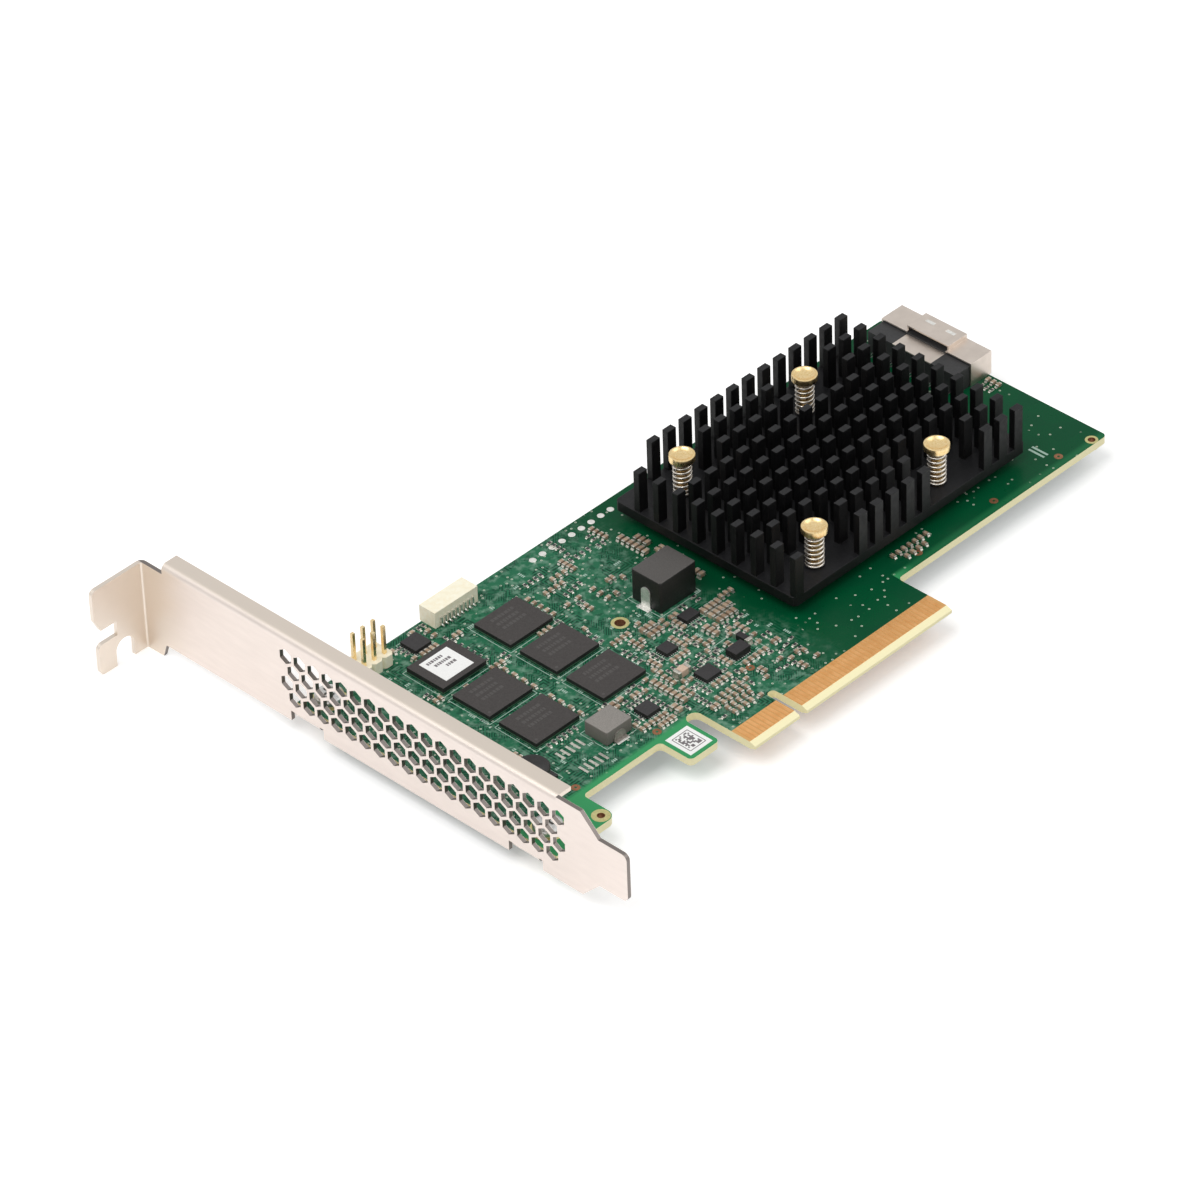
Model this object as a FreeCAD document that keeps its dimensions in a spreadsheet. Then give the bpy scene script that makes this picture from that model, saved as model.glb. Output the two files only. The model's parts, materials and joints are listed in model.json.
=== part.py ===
import FreeCAD, Part
import math
import os

import Sketcher

# Low-profile storage controller card for a server slot, as an assembly of its real pieces.
#
# Frame: X runs from the slot bracket towards the rear edge of the board, Y from the tip of the
# edge contacts towards the top edge of the card, Z out of the component face. The origin is the
# middle of the key slot, at the contacts' tip, on the component face.

doc = FreeCAD.newDocument("raid_controller_card")
sheet = doc.addObject("Spreadsheet::Sheet", "Sizes")


class Size:
    """A length that knows its number and the formula that gives it from the sheet."""

    def __init__(self, value, formula):
        self.value = value
        self.formula = formula

    def joined(self, other, sign, value):
        return Size(value, "({0} {1} {2})".format(self.formula, sign, other.formula))

    def __add__(self, other):
        other = as_size(other)
        return self.joined(other, "+", self.value + other.value)

    def __sub__(self, other):
        other = as_size(other)
        return self.joined(other, "-", self.value - other.value)

    def __mul__(self, other):
        other = as_size(other)
        return self.joined(other, "*", self.value * other.value)

    def __truediv__(self, other):
        other = as_size(other)
        return self.joined(other, "/", self.value / other.value)

    def __neg__(self):
        return Size(-self.value, "(-{0})".format(self.formula))

    def __radd__(self, other):
        return as_size(other) + self

    def __rsub__(self, other):
        return as_size(other) - self

    def __rmul__(self, other):
        return as_size(other) * self


def as_size(number):
    """Let plain numbers stand beside sizes from the sheet."""
    if isinstance(number, Size):
        return number
    return Size(float(number), "({0:.6f})".format(number))


def put(alias, number, meaning):
    """Write one driving dimension into the sheet and return it as a Size."""
    put.row += 1
    sheet.set("A{0}".format(put.row), meaning)
    sheet.set("B{0}".format(put.row), str(number))
    sheet.setAlias("B{0}".format(put.row), alias)
    return Size(float(number), "Sizes.{0}".format(alias))


put.row = 0


def put_chip(label, x, y, length, width, height):
    """Write one small package's place and size into the sheet: its label, middle and size."""
    words = label.replace("_", " ")
    centre = (put(label + "_x", x, "key centre to the " + words),
              put(label + "_y", y, "contact tip to the " + words))
    size = (put(label + "_length", length, words + " along X"),
            put(label + "_width", width, words + " along Y"),
            put(label + "_height", height, words + " over the board"))
    return label, centre, size


def put_row(name, x, y, lies, runs, count):
    """Write a row of ceramic capacitors into the sheet: its first part's middle.

    lies is the way each part's longer side lies, runs the way the row goes, "x" or "y".
    """
    words = name.replace("_", " ")
    return (put(name + "_x", x, "key centre to the first of the " + words),
            put(name + "_y", y, "contact tip to the first of the " + words), lies, runs, count)


# ---------------------------------------------------------------- driving dimensions (mm)

# Circuit board
board_front = put("board_front", 57.75, "key centre to the edge at the bracket")
board_rear = put("board_rear", 97.9, "key centre to the rear edge")
board_height = put("board_height", 68.9, "contact tip to the top edge")
board_thickness = put("board_thickness", 1.57, "laminate thickness")
edge_height = put("edge_height", 13.0, "contact tip to the long lower edge")
tongue_front = put("tongue_front", 12.6, "key centre to the tongue's front side")
tongue_rear = put("tongue_rear", 39.6, "key centre to the tongue's rear side")
key_width = put("key_width", 1.9, "width of the key slot")
key_depth = put("key_depth", 8.25, "depth of the key slot")
key_rounding = put("key_rounding", 0.85, "corner radius at the key slot's end")
bevel_length = put("bevel_length", 1.3, "lead-in bevel along Y")
bevel_depth = put("bevel_depth", 0.47, "lead-in bevel along Z")
slot_width = put("slot_width", 3.2, "notch between the tongue and the label tab")
slot_rise = put("slot_rise", 1.5, "notch depth above the lower edge")
slot_rounding = put("slot_rounding", 1.55, "corner radius at the notch's end")
label_tab_width = put("label_tab_width", 7.4, "width of the label tab")
label_tab_drop = put("label_tab_drop", 7.5, "label tab below the lower edge")
ear_hole_inset = put("ear_hole_inset", 13.05, "front edge to the ear's hole")
ear_hole_height = put("ear_hole_height", 6.8, "contact tip to the ear's hole")
ear_radius = put("ear_radius", 1.9, "rounding of the board's ear")
corner_rounding = put("corner_rounding", 1.0, "rounding of the board's other corners")
tooling_hole_radius = put("tooling_hole_radius", 0.75, "small plated tooling holes")
rear_hole_inset = put("rear_hole_inset", 3.0, "rear edge to the corner tooling hole")
rear_hole_rise = put("rear_hole_rise", 1.2, "lower edge to the corner tooling hole")
ground_hole_radius = put("ground_hole_radius", 1.05, "larger plated hole in the middle")
ground_hole_x = put("ground_hole_x", -3.2, "key centre to the larger plated hole")
ground_hole_y = put("ground_hole_y", 41.7, "contact tip to the larger plated hole")

# Edge contacts
contact_pitch = put("contact_pitch", 1.0, "spacing of the edge contacts")
contact_width = put("contact_width", 0.7, "width of one edge contact")
contact_start = put("contact_start", 1.3, "contact tip end above the tongue's tip")
contact_length = put("contact_length", 4.3, "length of one edge contact")
contact_thickness = put("contact_thickness", 0.05, "copper, nickel and gold")
key_to_contact = put("key_to_contact", 1.5, "key centre to the first contact's middle")
CONTACTS_BEFORE_KEY = 11
CONTACTS_AFTER_KEY = 38

# Slot bracket
sheet_metal = put("sheet_metal", 0.86, "bracket sheet thickness")
fold_radius = put("fold_radius", 0.4, "inside radius of every fold")
board_clearance = put("board_clearance", 0.04, "gap from the fold to the board's edge")
bracket_width = put("bracket_width", 18.42, "face width along Z")
bracket_drop = put("bracket_drop", 3.52, "face edge below the component face")
bracket_length = put("bracket_length", 120.02, "tab's lower face to the tip")
tab_height = put("tab_height", 106.72, "contact tip to the tab's lower face")
tab_reach = put("tab_reach", 12.15, "face to the tab's outer edge")
shoulder_height = put("shoulder_height", -2.5, "where the lower end starts to taper")
taper = put("taper", 4.115, "width lost on each side of the lower end")
tip_rounding = put("tip_rounding", 1.2, "corner radius at the lower tip")
flange_width = put("flange_width", 3.85, "folded long edge, over all")
flange_low = put("flange_low", 3.3, "lower end of the folded edge")
flange_high = put("flange_high", 101.3, "upper end of the folded edge")
neck_low_step = put("neck_low_step", 2.9, "neck below the face's lower edge")
neck_high_step = put("neck_high_step", 2.1, "neck inside the face's upper edge")
neck_start = put("neck_start", 101.6, "where the neck below the tab starts")
neck_slope = put("neck_slope", 0.97, "run of the slope down to the neck")
screw_slot_width = put("screw_slot_width", 4.42, "open screw slot in the tab")
screw_slot_inset = put("screw_slot_inset", 3.15, "face to the screw slot's near side")
screw_slot_depth = put("screw_slot_depth", 5.2, "depth of the screw slot")
tab_finger_reach = put("tab_finger_reach", 11.65, "face to the outside of the tab's finger")
guide_notch_reach = put("guide_notch_reach", 6.95, "face to the guide notch's inner end")
guide_notch_low = put("guide_notch_low", 0.3, "guide notch, lower side")
guide_notch_high = put("guide_notch_high", 3.4, "guide notch, upper side")
tab_chamfer = put("tab_chamfer", 1.4, "chamfer above the guide notch, along X")
tab_chamfer_rise = put("tab_chamfer_rise", 2.9, "chamfer above the guide notch, along Z")
tab_rounding = put("tab_rounding", 1.2, "corner radius of the tab's finger")

# Perforation of the bracket
perforation_pitch = put("perforation_pitch", 3.52, "spacing of the holes in a row")
perforation_width = put("perforation_width", 2.85, "hexagonal hole across its flats")
perforation_row = put("perforation_row", 2.98, "spacing of the rows")
perforation_start = put("perforation_start", 2.85, "first hole of the long rows")
perforation_top = put("perforation_top", 4.3, "face edge to the first row")
LONG_ROW = 20
SHORT_ROW = 19

# Bracket ears and their screws
ear_first = put("ear_first", 11.15, "contact tip to the lower ear's middle")
ear_spacing = put("ear_spacing", 54.0, "lower ear to upper ear")
ear_width = put("ear_width", 6.4, "ear along Y")
ear_reach = put("ear_reach", 9.2, "face to the ear's end")
relief_width = put("relief_width", 0.9, "relief cut beside each ear")
relief_rise = put("relief_rise", 2.2, "relief cut above the face's edge")
ear_screw_inset = put("ear_screw_inset", 4.35, "board's front edge to the ear screws")
ear_screw_radius = put("ear_screw_radius", 1.5, "shank radius")
ear_screw_head = put("ear_screw_head", 2.75, "head radius")
ear_screw_head_height = put("ear_screw_head_height", 1.8, "head height")
ear_screw_tail = put("ear_screw_tail", 0.7, "shank below the ear")
screw_clearance = put("screw_clearance", 0.1, "hole wall to shank")

# Heatsink
sink_centre_x = put("sink_centre_x", 50.35, "key centre to the heatsink's middle")
sink_centre_y = put("sink_centre_y", 41.5, "contact tip to the heatsink's middle")
sink_length = put("sink_length", 63.1, "heatsink along X")
sink_depth = put("sink_depth", 44.6, "heatsink along Y")
sink_base = put("sink_base", 2.0, "thickness of the heatsink's base")
pin_height = put("pin_height", 8.8, "pins above the base")
pin_length = put("pin_length", 2.2, "pin along X")
pin_width = put("pin_width", 1.35, "pin along Y")
pin_pitch_x = put("pin_pitch_x", 4.27, "pin spacing along X")
pin_pitch_y = put("pin_pitch_y", 4.81, "pin spacing along Y")
pin_grid_shift = put("pin_grid_shift", -0.34, "pin grid off the base's middle along X")
sink_rounding = put("sink_rounding", 1.0, "corner radius of the base")
PINS_X = 15
PINS_Y = 10
PATCHES = ((1, 3, 0, 1), (9, 11, 0, 1), (1, 3, 7, 8), (9, 11, 7, 8), (0, 1, 9, 9))

# Controller below the heatsink
chip_side = put("chip_side", 27.0, "controller package, square side")
chip_height = put("chip_height", 1.1, "controller package over its solder balls")
lid_side = put("lid_side", 21.0, "controller lid, square side")
lid_height = put("lid_height", 0.8, "controller lid above the package")
pad_side = put("pad_side", 23.0, "thermal pad, square side")
pad_height = put("pad_height", 0.3, "thermal pad, squeezed")
chip_centre_x = put("chip_centre_x", 45.4, "key centre to the controller's middle")
chip_centre_y = put("chip_centre_y", 39.75, "contact tip to the controller's middle")

# Spring screws
spring_screw_span_x = put("spring_screw_span_x", 33.2, "spring screws apart along X")
spring_screw_span_y = put("spring_screw_span_y", 32.6, "spring screws apart along Y")
spring_screw_head = put("spring_screw_head", 2.5, "head radius")
spring_screw_head_height = put("spring_screw_head_height", 1.35, "head height")
spring_screw_radius = put("spring_screw_radius", 1.2, "shank radius")
spring_screw_dish = put("spring_screw_dish", 0.45, "depth of the dish in the head")
spring_screw_dish_radius = put("spring_screw_dish_radius", 1.85, "radius of the dish")
spring_height = put("spring_height", 7.5, "spring between base and head")
spring_outer = put("spring_outer", 1.95, "spring outside radius")
spring_wire = put("spring_wire", 0.5, "spring wire thickness")
nut_radius = put("nut_radius", 2.5, "six-sided nut on the back, over its points")
nut_height = put("nut_height", 1.6, "nut height")
SPRING_SIDES = 12
NUT_SIDES = 6

# Rear cable connector
port_width = put("port_width", 22.45, "shell along Y")
port_centre_y = put("port_centre_y", 53.2, "contact tip to the connector's middle")
port_length = put("port_length", 10.0, "insulator along X")
port_overhang = put("port_overhang", 0.6, "shell past the board's rear edge")
shell_length = put("shell_length", 5.8, "shell along X")
shell_height = put("shell_height", 5.2, "shell over the board")
shell_wall = put("shell_wall", 0.3, "shell sheet thickness")
tunnel_width = put("tunnel_width", 10.3, "raised latch tunnel along Y")
tunnel_height = put("tunnel_height", 1.0, "latch tunnel above the shell")
tunnel_inset = put("tunnel_inset", 0.5, "shell's inner end to the tunnel's end")
latch_window_length = put("latch_window_length", 0.9, "latch window along X")
latch_window_width = put("latch_window_width", 2.2, "latch window along Y")
latch_window_spacing = put("latch_window_spacing", 5.1, "latch windows apart")
latch_window_inset = put("latch_window_inset", 1.2, "shell's mouth to the latch windows")
mating_slot_height = put("mating_slot_height", 1.2, "slot for the plug's card")
mating_slot_margin = put("mating_slot_margin", 1.2, "insulator beside the slot")
mating_slot_depth = put("mating_slot_depth", 5.0, "depth of the slot")
insulator_height = put("insulator_height", 4.6, "insulator behind the shell")
plate_width = put("plate_width", 9.6, "ground plate along Y")
plate_height = put("plate_height", 4.6, "ground plate over the board")
plate_thickness = put("plate_thickness", 0.25, "ground plate")
lead_pitch = put("lead_pitch", 0.6, "spacing of the solder leads")
lead_width = put("lead_width", 0.25, "width of a solder lead")
lead_length = put("lead_length", 1.3, "solder lead behind the insulator")
lead_height = put("lead_height", 0.2, "thickness of a solder lead")
LEADS = 33

# Memory and flash chips
memory_length = put("memory_length", 10.9, "memory package along X")
memory_width = put("memory_width", 9.2, "memory package along Y")
memory_height = put("memory_height", 1.2, "memory package over the board")
memory_column = put("memory_column", -16.5, "second column's middle from the key")
memory_column_gap = put("memory_column_gap", 17.1, "spacing of the two columns")
memory_row = put("memory_row", 32.45, "lowest row's middle")
memory_row_gap = put("memory_row_gap", 11.5, "spacing of the rows")
flash_height = put("flash_height", 1.4, "flash package over the board")
label_thickness = put("label_thickness", 0.06, "paper label")
flash_label_length = put("flash_label_length", 7.0, "flash label along X")
flash_label_width = put("flash_label_width", 6.9, "flash label along Y")
tab_label_margin = put("tab_label_margin", 0.9, "board left bare round the tab's label")
tab_label_height = put("tab_label_height", 6.2, "tab label along Y")

# Pin header
header_pitch = put("header_pitch", 2.54, "header pin spacing")
header_x = put("header_x", 15.55, "board's front edge to the header's middle")
header_y = put("header_y", 2.65, "board's top edge to the header's middle")
header_base_height = put("header_base_height", 2.5, "header base")
header_chamfer = put("header_chamfer", 0.55, "corner chamfer of each base cell")
header_pin_side = put("header_pin_side", 0.64, "square header pin")
header_pin_height = put("header_pin_height", 8.6, "header pin over the board")
HEADER_HOLE_SIDES = 8
header_tail = put("header_tail", 1.2, "header pin below the board")
header_hole_radius = put("header_hole_radius", 0.52, "eight-sided hole for a header pin, over its points")

# Side-entry cable socket on the top edge
socket_length = put("socket_length", 10.9, "socket along X")
socket_depth = put("socket_depth", 4.0, "socket along Y")
socket_height = put("socket_height", 3.5, "socket over the board")
socket_centre_x = put("socket_centre_x", -21.05, "key centre to the socket's middle")
socket_overhang = put("socket_overhang", 0.4, "socket past the board's top edge")
socket_wall = put("socket_wall", 0.6, "socket wall")
socket_pin_pitch = put("socket_pin_pitch", 1.0, "socket pin spacing")
socket_pin_side = put("socket_pin_side", 0.35, "square socket pin")
socket_lead = put("socket_lead", 0.9, "solder lead behind the socket")
SOCKET_PINS = 9

# Inductors
inductor_length = put("inductor_length", 9.4, "large inductor along X")
inductor_width = put("inductor_width", 7.2, "large inductor along Y")
inductor_height = put("inductor_height", 7.0, "large inductor over the board")
inductor_x = put("inductor_x", 8.1, "key centre to the large inductor")
inductor_y = put("inductor_y", 41.4, "contact tip to the large inductor")
strap_width = put("strap_width", 2.2, "large inductor's strap across")
strap_height = put("strap_height", 4.4, "large inductor's strap up the side")
strap_thickness = put("strap_thickness", 0.2, "sheet of every inductor strap")
strap_foot = put("strap_foot", 0.8, "strap's foot out on the board")
choke_length = put("choke_length", 6.4, "small inductor along X")
choke_width = put("choke_width", 5.5, "small inductor along Y")
choke_height = put("choke_height", 3.0, "small inductor over the board")
choke_x = put("choke_x", -27.1, "key centre to the small inductor")
choke_y = put("choke_y", 21.8, "contact tip to the small inductor")
choke_strap_width = put("choke_strap_width", 3.0, "flat inductors' strap across")
choke_strap_height = put("choke_strap_height", 2.0, "flat inductors' strap up the side")
power_inductor_side = put("power_inductor_side", 6.4, "dark flat inductor, square side")
power_inductor_height = put("power_inductor_height", 3.0, "dark flat inductor over the board")
power_inductor_x = put("power_inductor_x", -45.3, "key centre to the dark flat inductor")
power_inductor_y = put("power_inductor_y", 22.7, "contact tip to the dark flat inductor")

# Ceramic capacitors in rows, each with its longer side along X or along Y
capacitor_length = put("capacitor_length", 1.6, "ceramic capacitor, longer side")
capacitor_width = put("capacitor_width", 0.8, "ceramic capacitor, shorter side")
capacitor_height = put("capacitor_height", 0.8, "ceramic capacitor over the board")
capacitor_pitch = put("capacitor_pitch", 1.25, "spacing of capacitors side by side")
capacitor_end_pitch = put("capacitor_end_pitch", 1.95, "spacing of capacitors end to end")
back_capacitor_height = put("back_capacitor_height", 0.5, "capacitor on the back")
FRONT_ROWS = (
    put_row("output_row_1", 8.9, 28.6, "y", "x", 4),
    put_row("output_row_2", 8.9, 30.55, "y", "x", 4),
    put_row("output_row_3", 8.9, 32.5, "y", "x", 4),
    put_row("stage_column", 5.7, 26.4, "x", "y", 3),
    put_row("middle_row_1", -2.5, 34.8, "y", "x", 3),
    put_row("middle_row_2", -2.5, 36.75, "y", "x", 3),
    put_row("regulator_column", -12.0, 17.6, "x", "y", 7),
    put_row("regulator_pair", -14.6, 16.4, "x", "y", 2),
    put_row("inductor_column_1", 14.8, 52.4, "x", "y", 6),
    put_row("inductor_column_2", 16.9, 54.0, "x", "y", 3),
    put_row("inductor_pair", 16.6, 40.2, "x", "y", 2),
    put_row("choke_pair", -21.6, 26.2, "x", "x", 2),
)
BACK_ROWS = (
    put_row("controller_row_1", 39.4, 35.0, "x", "x", 6),
    put_row("controller_row_2", 39.4, 38.0, "x", "x", 6),
    put_row("controller_row_3", 39.4, 41.0, "x", "x", 6),
    put_row("controller_row_4", 39.4, 44.0, "x", "x", 6),
    put_row("memory_back_row_1", -18.5, 32.5, "x", "x", 3),
    put_row("memory_back_row_2", -18.5, 44.0, "x", "x", 3),
    put_row("memory_back_row_3", -18.5, 55.5, "x", "x", 3),
    put_row("memory_back_row_4", -35.6, 32.5, "x", "x", 3),
    put_row("memory_back_row_5", -35.6, 44.0, "x", "x", 3),
)

# Power, clock and sensing chips and the largest capacitor: middle, then length, width, height
SMALL_CHIPS = (
    put_chip("regulator_chip_1", -18.4, 20.6, 3.4, 3.3, 0.9),
    put_chip("regulator_chip_2", -3.8, 19.6, 3.8, 3.3, 0.9),
    put_chip("regulator_chip_3", -3.5, 29.8, 2.9, 2.8, 0.9),
    put_chip("clock_chip", 6.1, 33.5, 3.5, 2.4, 0.9),
    put_chip("monitor_chip", -32.2, 64.6, 4.0, 4.0, 0.9),
    put_chip("power_stage", 4.4, 19.8, 3.8, 2.6, 1.5),
    put_chip("power_diode", 7.7, 21.8, 1.3, 3.8, 1.2),
    put_chip("tantalum_capacitor", -6.6, 23.2, 3.2, 1.6, 1.4),
)

cut_margin = put("cut_margin", 1.0, "how far a cutting tool reaches past the metal it cuts")

# ---------------------------------------------------------------- sizes that follow

under_board = -board_thickness
board_left = -board_front
inner_face = board_left - board_clearance - fold_radius
outer_face = inner_face - sheet_metal
face_low = -bracket_drop
face_high = bracket_width - bracket_drop
fold_outer = fold_radius + sheet_metal
tip_height = tab_height - bracket_length
neck_low = face_low - neck_low_step
neck_high = face_high - neck_high_step
ear_floor = under_board - sheet_metal
ear_screw_x = board_left + ear_screw_inset
sink_floor = chip_height + lid_height + pad_height
sink_top = sink_floor + sink_base
head_floor = sink_top + spring_height
shell_mouth = board_rear + port_overhang
shell_back = shell_mouth - shell_length
port_back = shell_mouth - port_length
port_low = port_centre_y - port_width / 2
port_high = port_centre_y + port_width / 2


# ---------------------------------------------------------------- building blocks

def bind(thing, path, size):
    """Tie one property of an object to the sheet."""
    thing.setExpression(path, as_size(size).formula)


def new_body(label):
    """An empty body for one sub-part; repeats of a small piece may be separate solids in it."""
    body = doc.addObject("PartDesign::Body", label)
    body.Label = label
    body.AllowCompound = True
    return body


def origin_item(body, role):
    """One of a body's own origin planes or axes."""
    for item in body.Origin.OriginFeatures:
        if item.Role == role:
            return item
    raise ValueError("no origin item called " + role)


def new_sketch(body, role, offset, across=0, up=0):
    """A sketch on one of the body's origin planes, moved along the plane's normal and in it."""
    sketch = body.newObject("Sketcher::SketchObject", body.Label + "_sketch")
    sketch.AttachmentSupport = [(origin_item(body, role), "")]
    sketch.MapMode = "FlatFace"
    bind(sketch, "AttachmentOffset.Base.x", across)
    bind(sketch, "AttachmentOffset.Base.y", up)
    bind(sketch, "AttachmentOffset.Base.z", offset)
    return sketch


def pin_down(sketch, edge, end, across, up):
    """Hold one point of a sketch at its distances from the origin."""
    across = as_size(across)
    up = as_size(up)
    for kind, size in (("DistanceX", across), ("DistanceY", up)):
        index = sketch.addConstraint(Sketcher.Constraint(kind, -1, 1, edge, end, size.value))
        bind(sketch, "Constraints[{0}]".format(index), size)


def circle(sketch, across, up, radius):
    """A full circle with its centre and radius held."""
    centre = FreeCAD.Vector(as_size(across).value, as_size(up).value, 0)
    shape = Part.Circle(centre, FreeCAD.Vector(0, 0, 1), as_size(radius).value)
    edge = sketch.addGeometry(shape, False)
    pin_down(sketch, edge, 3, across, up)
    index = sketch.addConstraint(Sketcher.Constraint("Radius", edge, as_size(radius).value))
    bind(sketch, "Constraints[{0}]".format(index), radius)


def arc_between(start, end, radius):
    """The short arc between two points; a positive radius turns left, a negative one right."""
    chord = end - start
    middle = (start + end) / 2
    reach = math.sqrt(max(radius * radius - chord.Length * chord.Length / 4, 0.0))
    side = FreeCAD.Vector(-chord.y, chord.x, 0).normalize() * math.copysign(reach, radius)
    centre = middle + side
    first, last = (start, end) if radius > 0 else (end, start)
    angles = [math.atan2(point.y - centre.y, point.x - centre.x) for point in (first, last)]
    whole = Part.Circle(centre, FreeCAD.Vector(0, 0, 1), abs(radius))
    return Part.ArcOfCircle(whole, angles[0], angles[1])


def outline(sketch, corners):
    """A closed loop; a third value in a corner makes the edge to the next corner an arc."""
    points = [FreeCAD.Vector(as_size(c[0]).value, as_size(c[1]).value, 0) for c in corners]
    edges = []
    for index, corner in enumerate(corners):
        start = points[index]
        end = points[(index + 1) % len(points)]
        if len(corner) == 3:
            radius = as_size(corner[2])
            edge = sketch.addGeometry(arc_between(start, end, radius.value), False)
            size = radius if radius.value > 0 else -radius
            held = sketch.addConstraint(Sketcher.Constraint("Radius", edge, size.value))
            bind(sketch, "Constraints[{0}]".format(held), size)
            edges.append((edge, 1, 2) if radius.value > 0 else (edge, 2, 1))
        else:
            edge = sketch.addGeometry(Part.LineSegment(start, end), False)
            edges.append((edge, 1, 2))
    for index, (edge, start, end) in enumerate(edges):
        following, following_start = edges[(index + 1) % len(edges)][:2]
        meeting = Sketcher.Constraint("Coincident", edge, end, following, following_start)
        sketch.addConstraint(meeting)
        pin_down(sketch, edge, start, corners[index][0], corners[index][1])


def rectangle(sketch, low, high):
    """A rectangle between two opposite corners."""
    outline(sketch, [low, (high[0], low[1]), high, (low[0], high[1])])


def ring_outline(sketch, centre, radius, sides):
    """A regular polygon with its points on a circle, standing on a flat side."""
    turn = 2 * math.pi / sides
    outline(sketch, [
        (centre[0] + as_size(radius) * math.cos(turn * (side + 0.5)),
         centre[1] + as_size(radius) * math.sin(turn * (side + 0.5)))
        for side in range(sides)])


def pad(body, sketch, length, reversed_way=False):
    """Grow a sketch along its plane's normal."""
    feature = body.newObject("PartDesign::Pad", body.Label + "_pad")
    feature.Profile = sketch
    feature.Reversed = reversed_way
    bind(feature, "Length", length)
    body.Tip = feature
    doc.recompute()
    return feature


def turned(body, place, half_section):
    """Turn a half section, given from its own axis, about the upright line through a place."""
    sketch = new_sketch(body, "XZ_Plane", -as_size(place[1]), place[0])
    outline(sketch, half_section)
    feature = body.newObject("PartDesign::Revolution", body.Label + "_turned")
    feature.Profile = sketch
    feature.ReferenceAxis = (sketch, ["V_Axis"])
    feature.Angle = 360
    body.Tip = feature
    doc.recompute()
    return feature


def pocket(body, sketch, length, reversed_way=False):
    """Cut a sketch into the body against its plane's normal, and make sure that it cuts."""
    before = body.Shape.Volume
    feature = body.newObject("PartDesign::Pocket", body.Label + "_pocket")
    feature.Profile = sketch
    feature.Reversed = reversed_way
    bind(feature, "Length", length)
    body.Tip = feature
    doc.recompute()
    if body.Shape.Volume >= before:
        raise RuntimeError(body.Label + ": a pocket removes nothing")
    return feature


def pattern(body, original, first, second=None):
    """Repeat a feature: each direction is an axis role, a spacing, a count and a reversal."""
    feature = body.newObject("PartDesign::LinearPattern", body.Label + "_pattern")
    feature.Originals = [original]
    for suffix, direction in (("", first), ("2", second)):
        if direction:
            role, spacing, count, reversed_way = direction
            setattr(feature, "Direction" + suffix, (origin_item(body, role), [""]))
            setattr(feature, "Mode" + suffix, "Extent")
            bind(feature, "Length" + suffix, spacing * (count - 1))
            setattr(feature, "Occurrences" + suffix, count)
            setattr(feature, "Reversed" + suffix, reversed_way)
    body.Tip = feature
    doc.recompute()
    return feature


def round_edges(body, base, direction, places, radius):
    """Round the straight edges along one axis that pass through the given places."""
    names = []
    axes = {"x": (1, 2), "y": (0, 2), "z": (0, 1)}[direction]
    for number, edge in enumerate(base.Shape.Edges, 1):
        middle = edge.CenterOfMass
        along = abs(getattr(edge.tangentAt(edge.FirstParameter), direction))
        spot = (middle[axes[0]], middle[axes[1]])
        for place in places:
            near = math.dist(spot, (as_size(place[0]).value, as_size(place[1]).value)) < 0.01
            if near and along > 0.99:
                names.append("Edge{0}".format(number))
    if len(names) < len(places):
        raise RuntimeError(body.Label + ": an edge to round is missing")
    feature = body.newObject("PartDesign::Fillet", body.Label + "_fillet")
    feature.Base = (base, names)
    bind(feature, "Radius", radius)
    body.Tip = feature
    doc.recompute()
    return feature


def block(label, low, high):
    """A plain block between two opposite corners."""
    piece = doc.addObject("Part::Box", label)
    piece.Label = label
    for side, axis, start, end in zip(("Length", "Width", "Height"), "xyz", low, high):
        bind(piece, side, as_size(end) - start)
        bind(piece, "Placement.Base." + axis, start)
    return piece


def centred_block(label, centre, size, floor):
    """A block that stands on a height, round a centre in X and Y."""
    low = [as_size(centre[0]) - as_size(size[0]) / 2, as_size(centre[1]) - as_size(size[1]) / 2]
    high = [low[0] + size[0], low[1] + size[1]]
    return block(label, low + [floor], high + [as_size(floor) + size[2]])


# ---------------------------------------------------------------- circuit board

def spring_screw_places():
    """Centres of the four spring screws round the controller."""
    return [(chip_centre_x + spring_screw_span_x * x, chip_centre_y + spring_screw_span_y * y)
            for x in (-0.5, 0.5) for y in (-0.5, 0.5)]


def ear_screw_places():
    """Centres of the two screws through the bracket's ears."""
    return [(ear_screw_x, ear_first), (ear_screw_x, ear_first + ear_spacing)]


def header_pin_places():
    """Centres of the six header pins."""
    middle_x = board_left + header_x
    middle_y = board_height - header_y
    return [(middle_x + header_pitch * x, middle_y + header_pitch * y)
            for x in (-1, 0, 1) for y in (-0.5, 0.5)]


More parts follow.
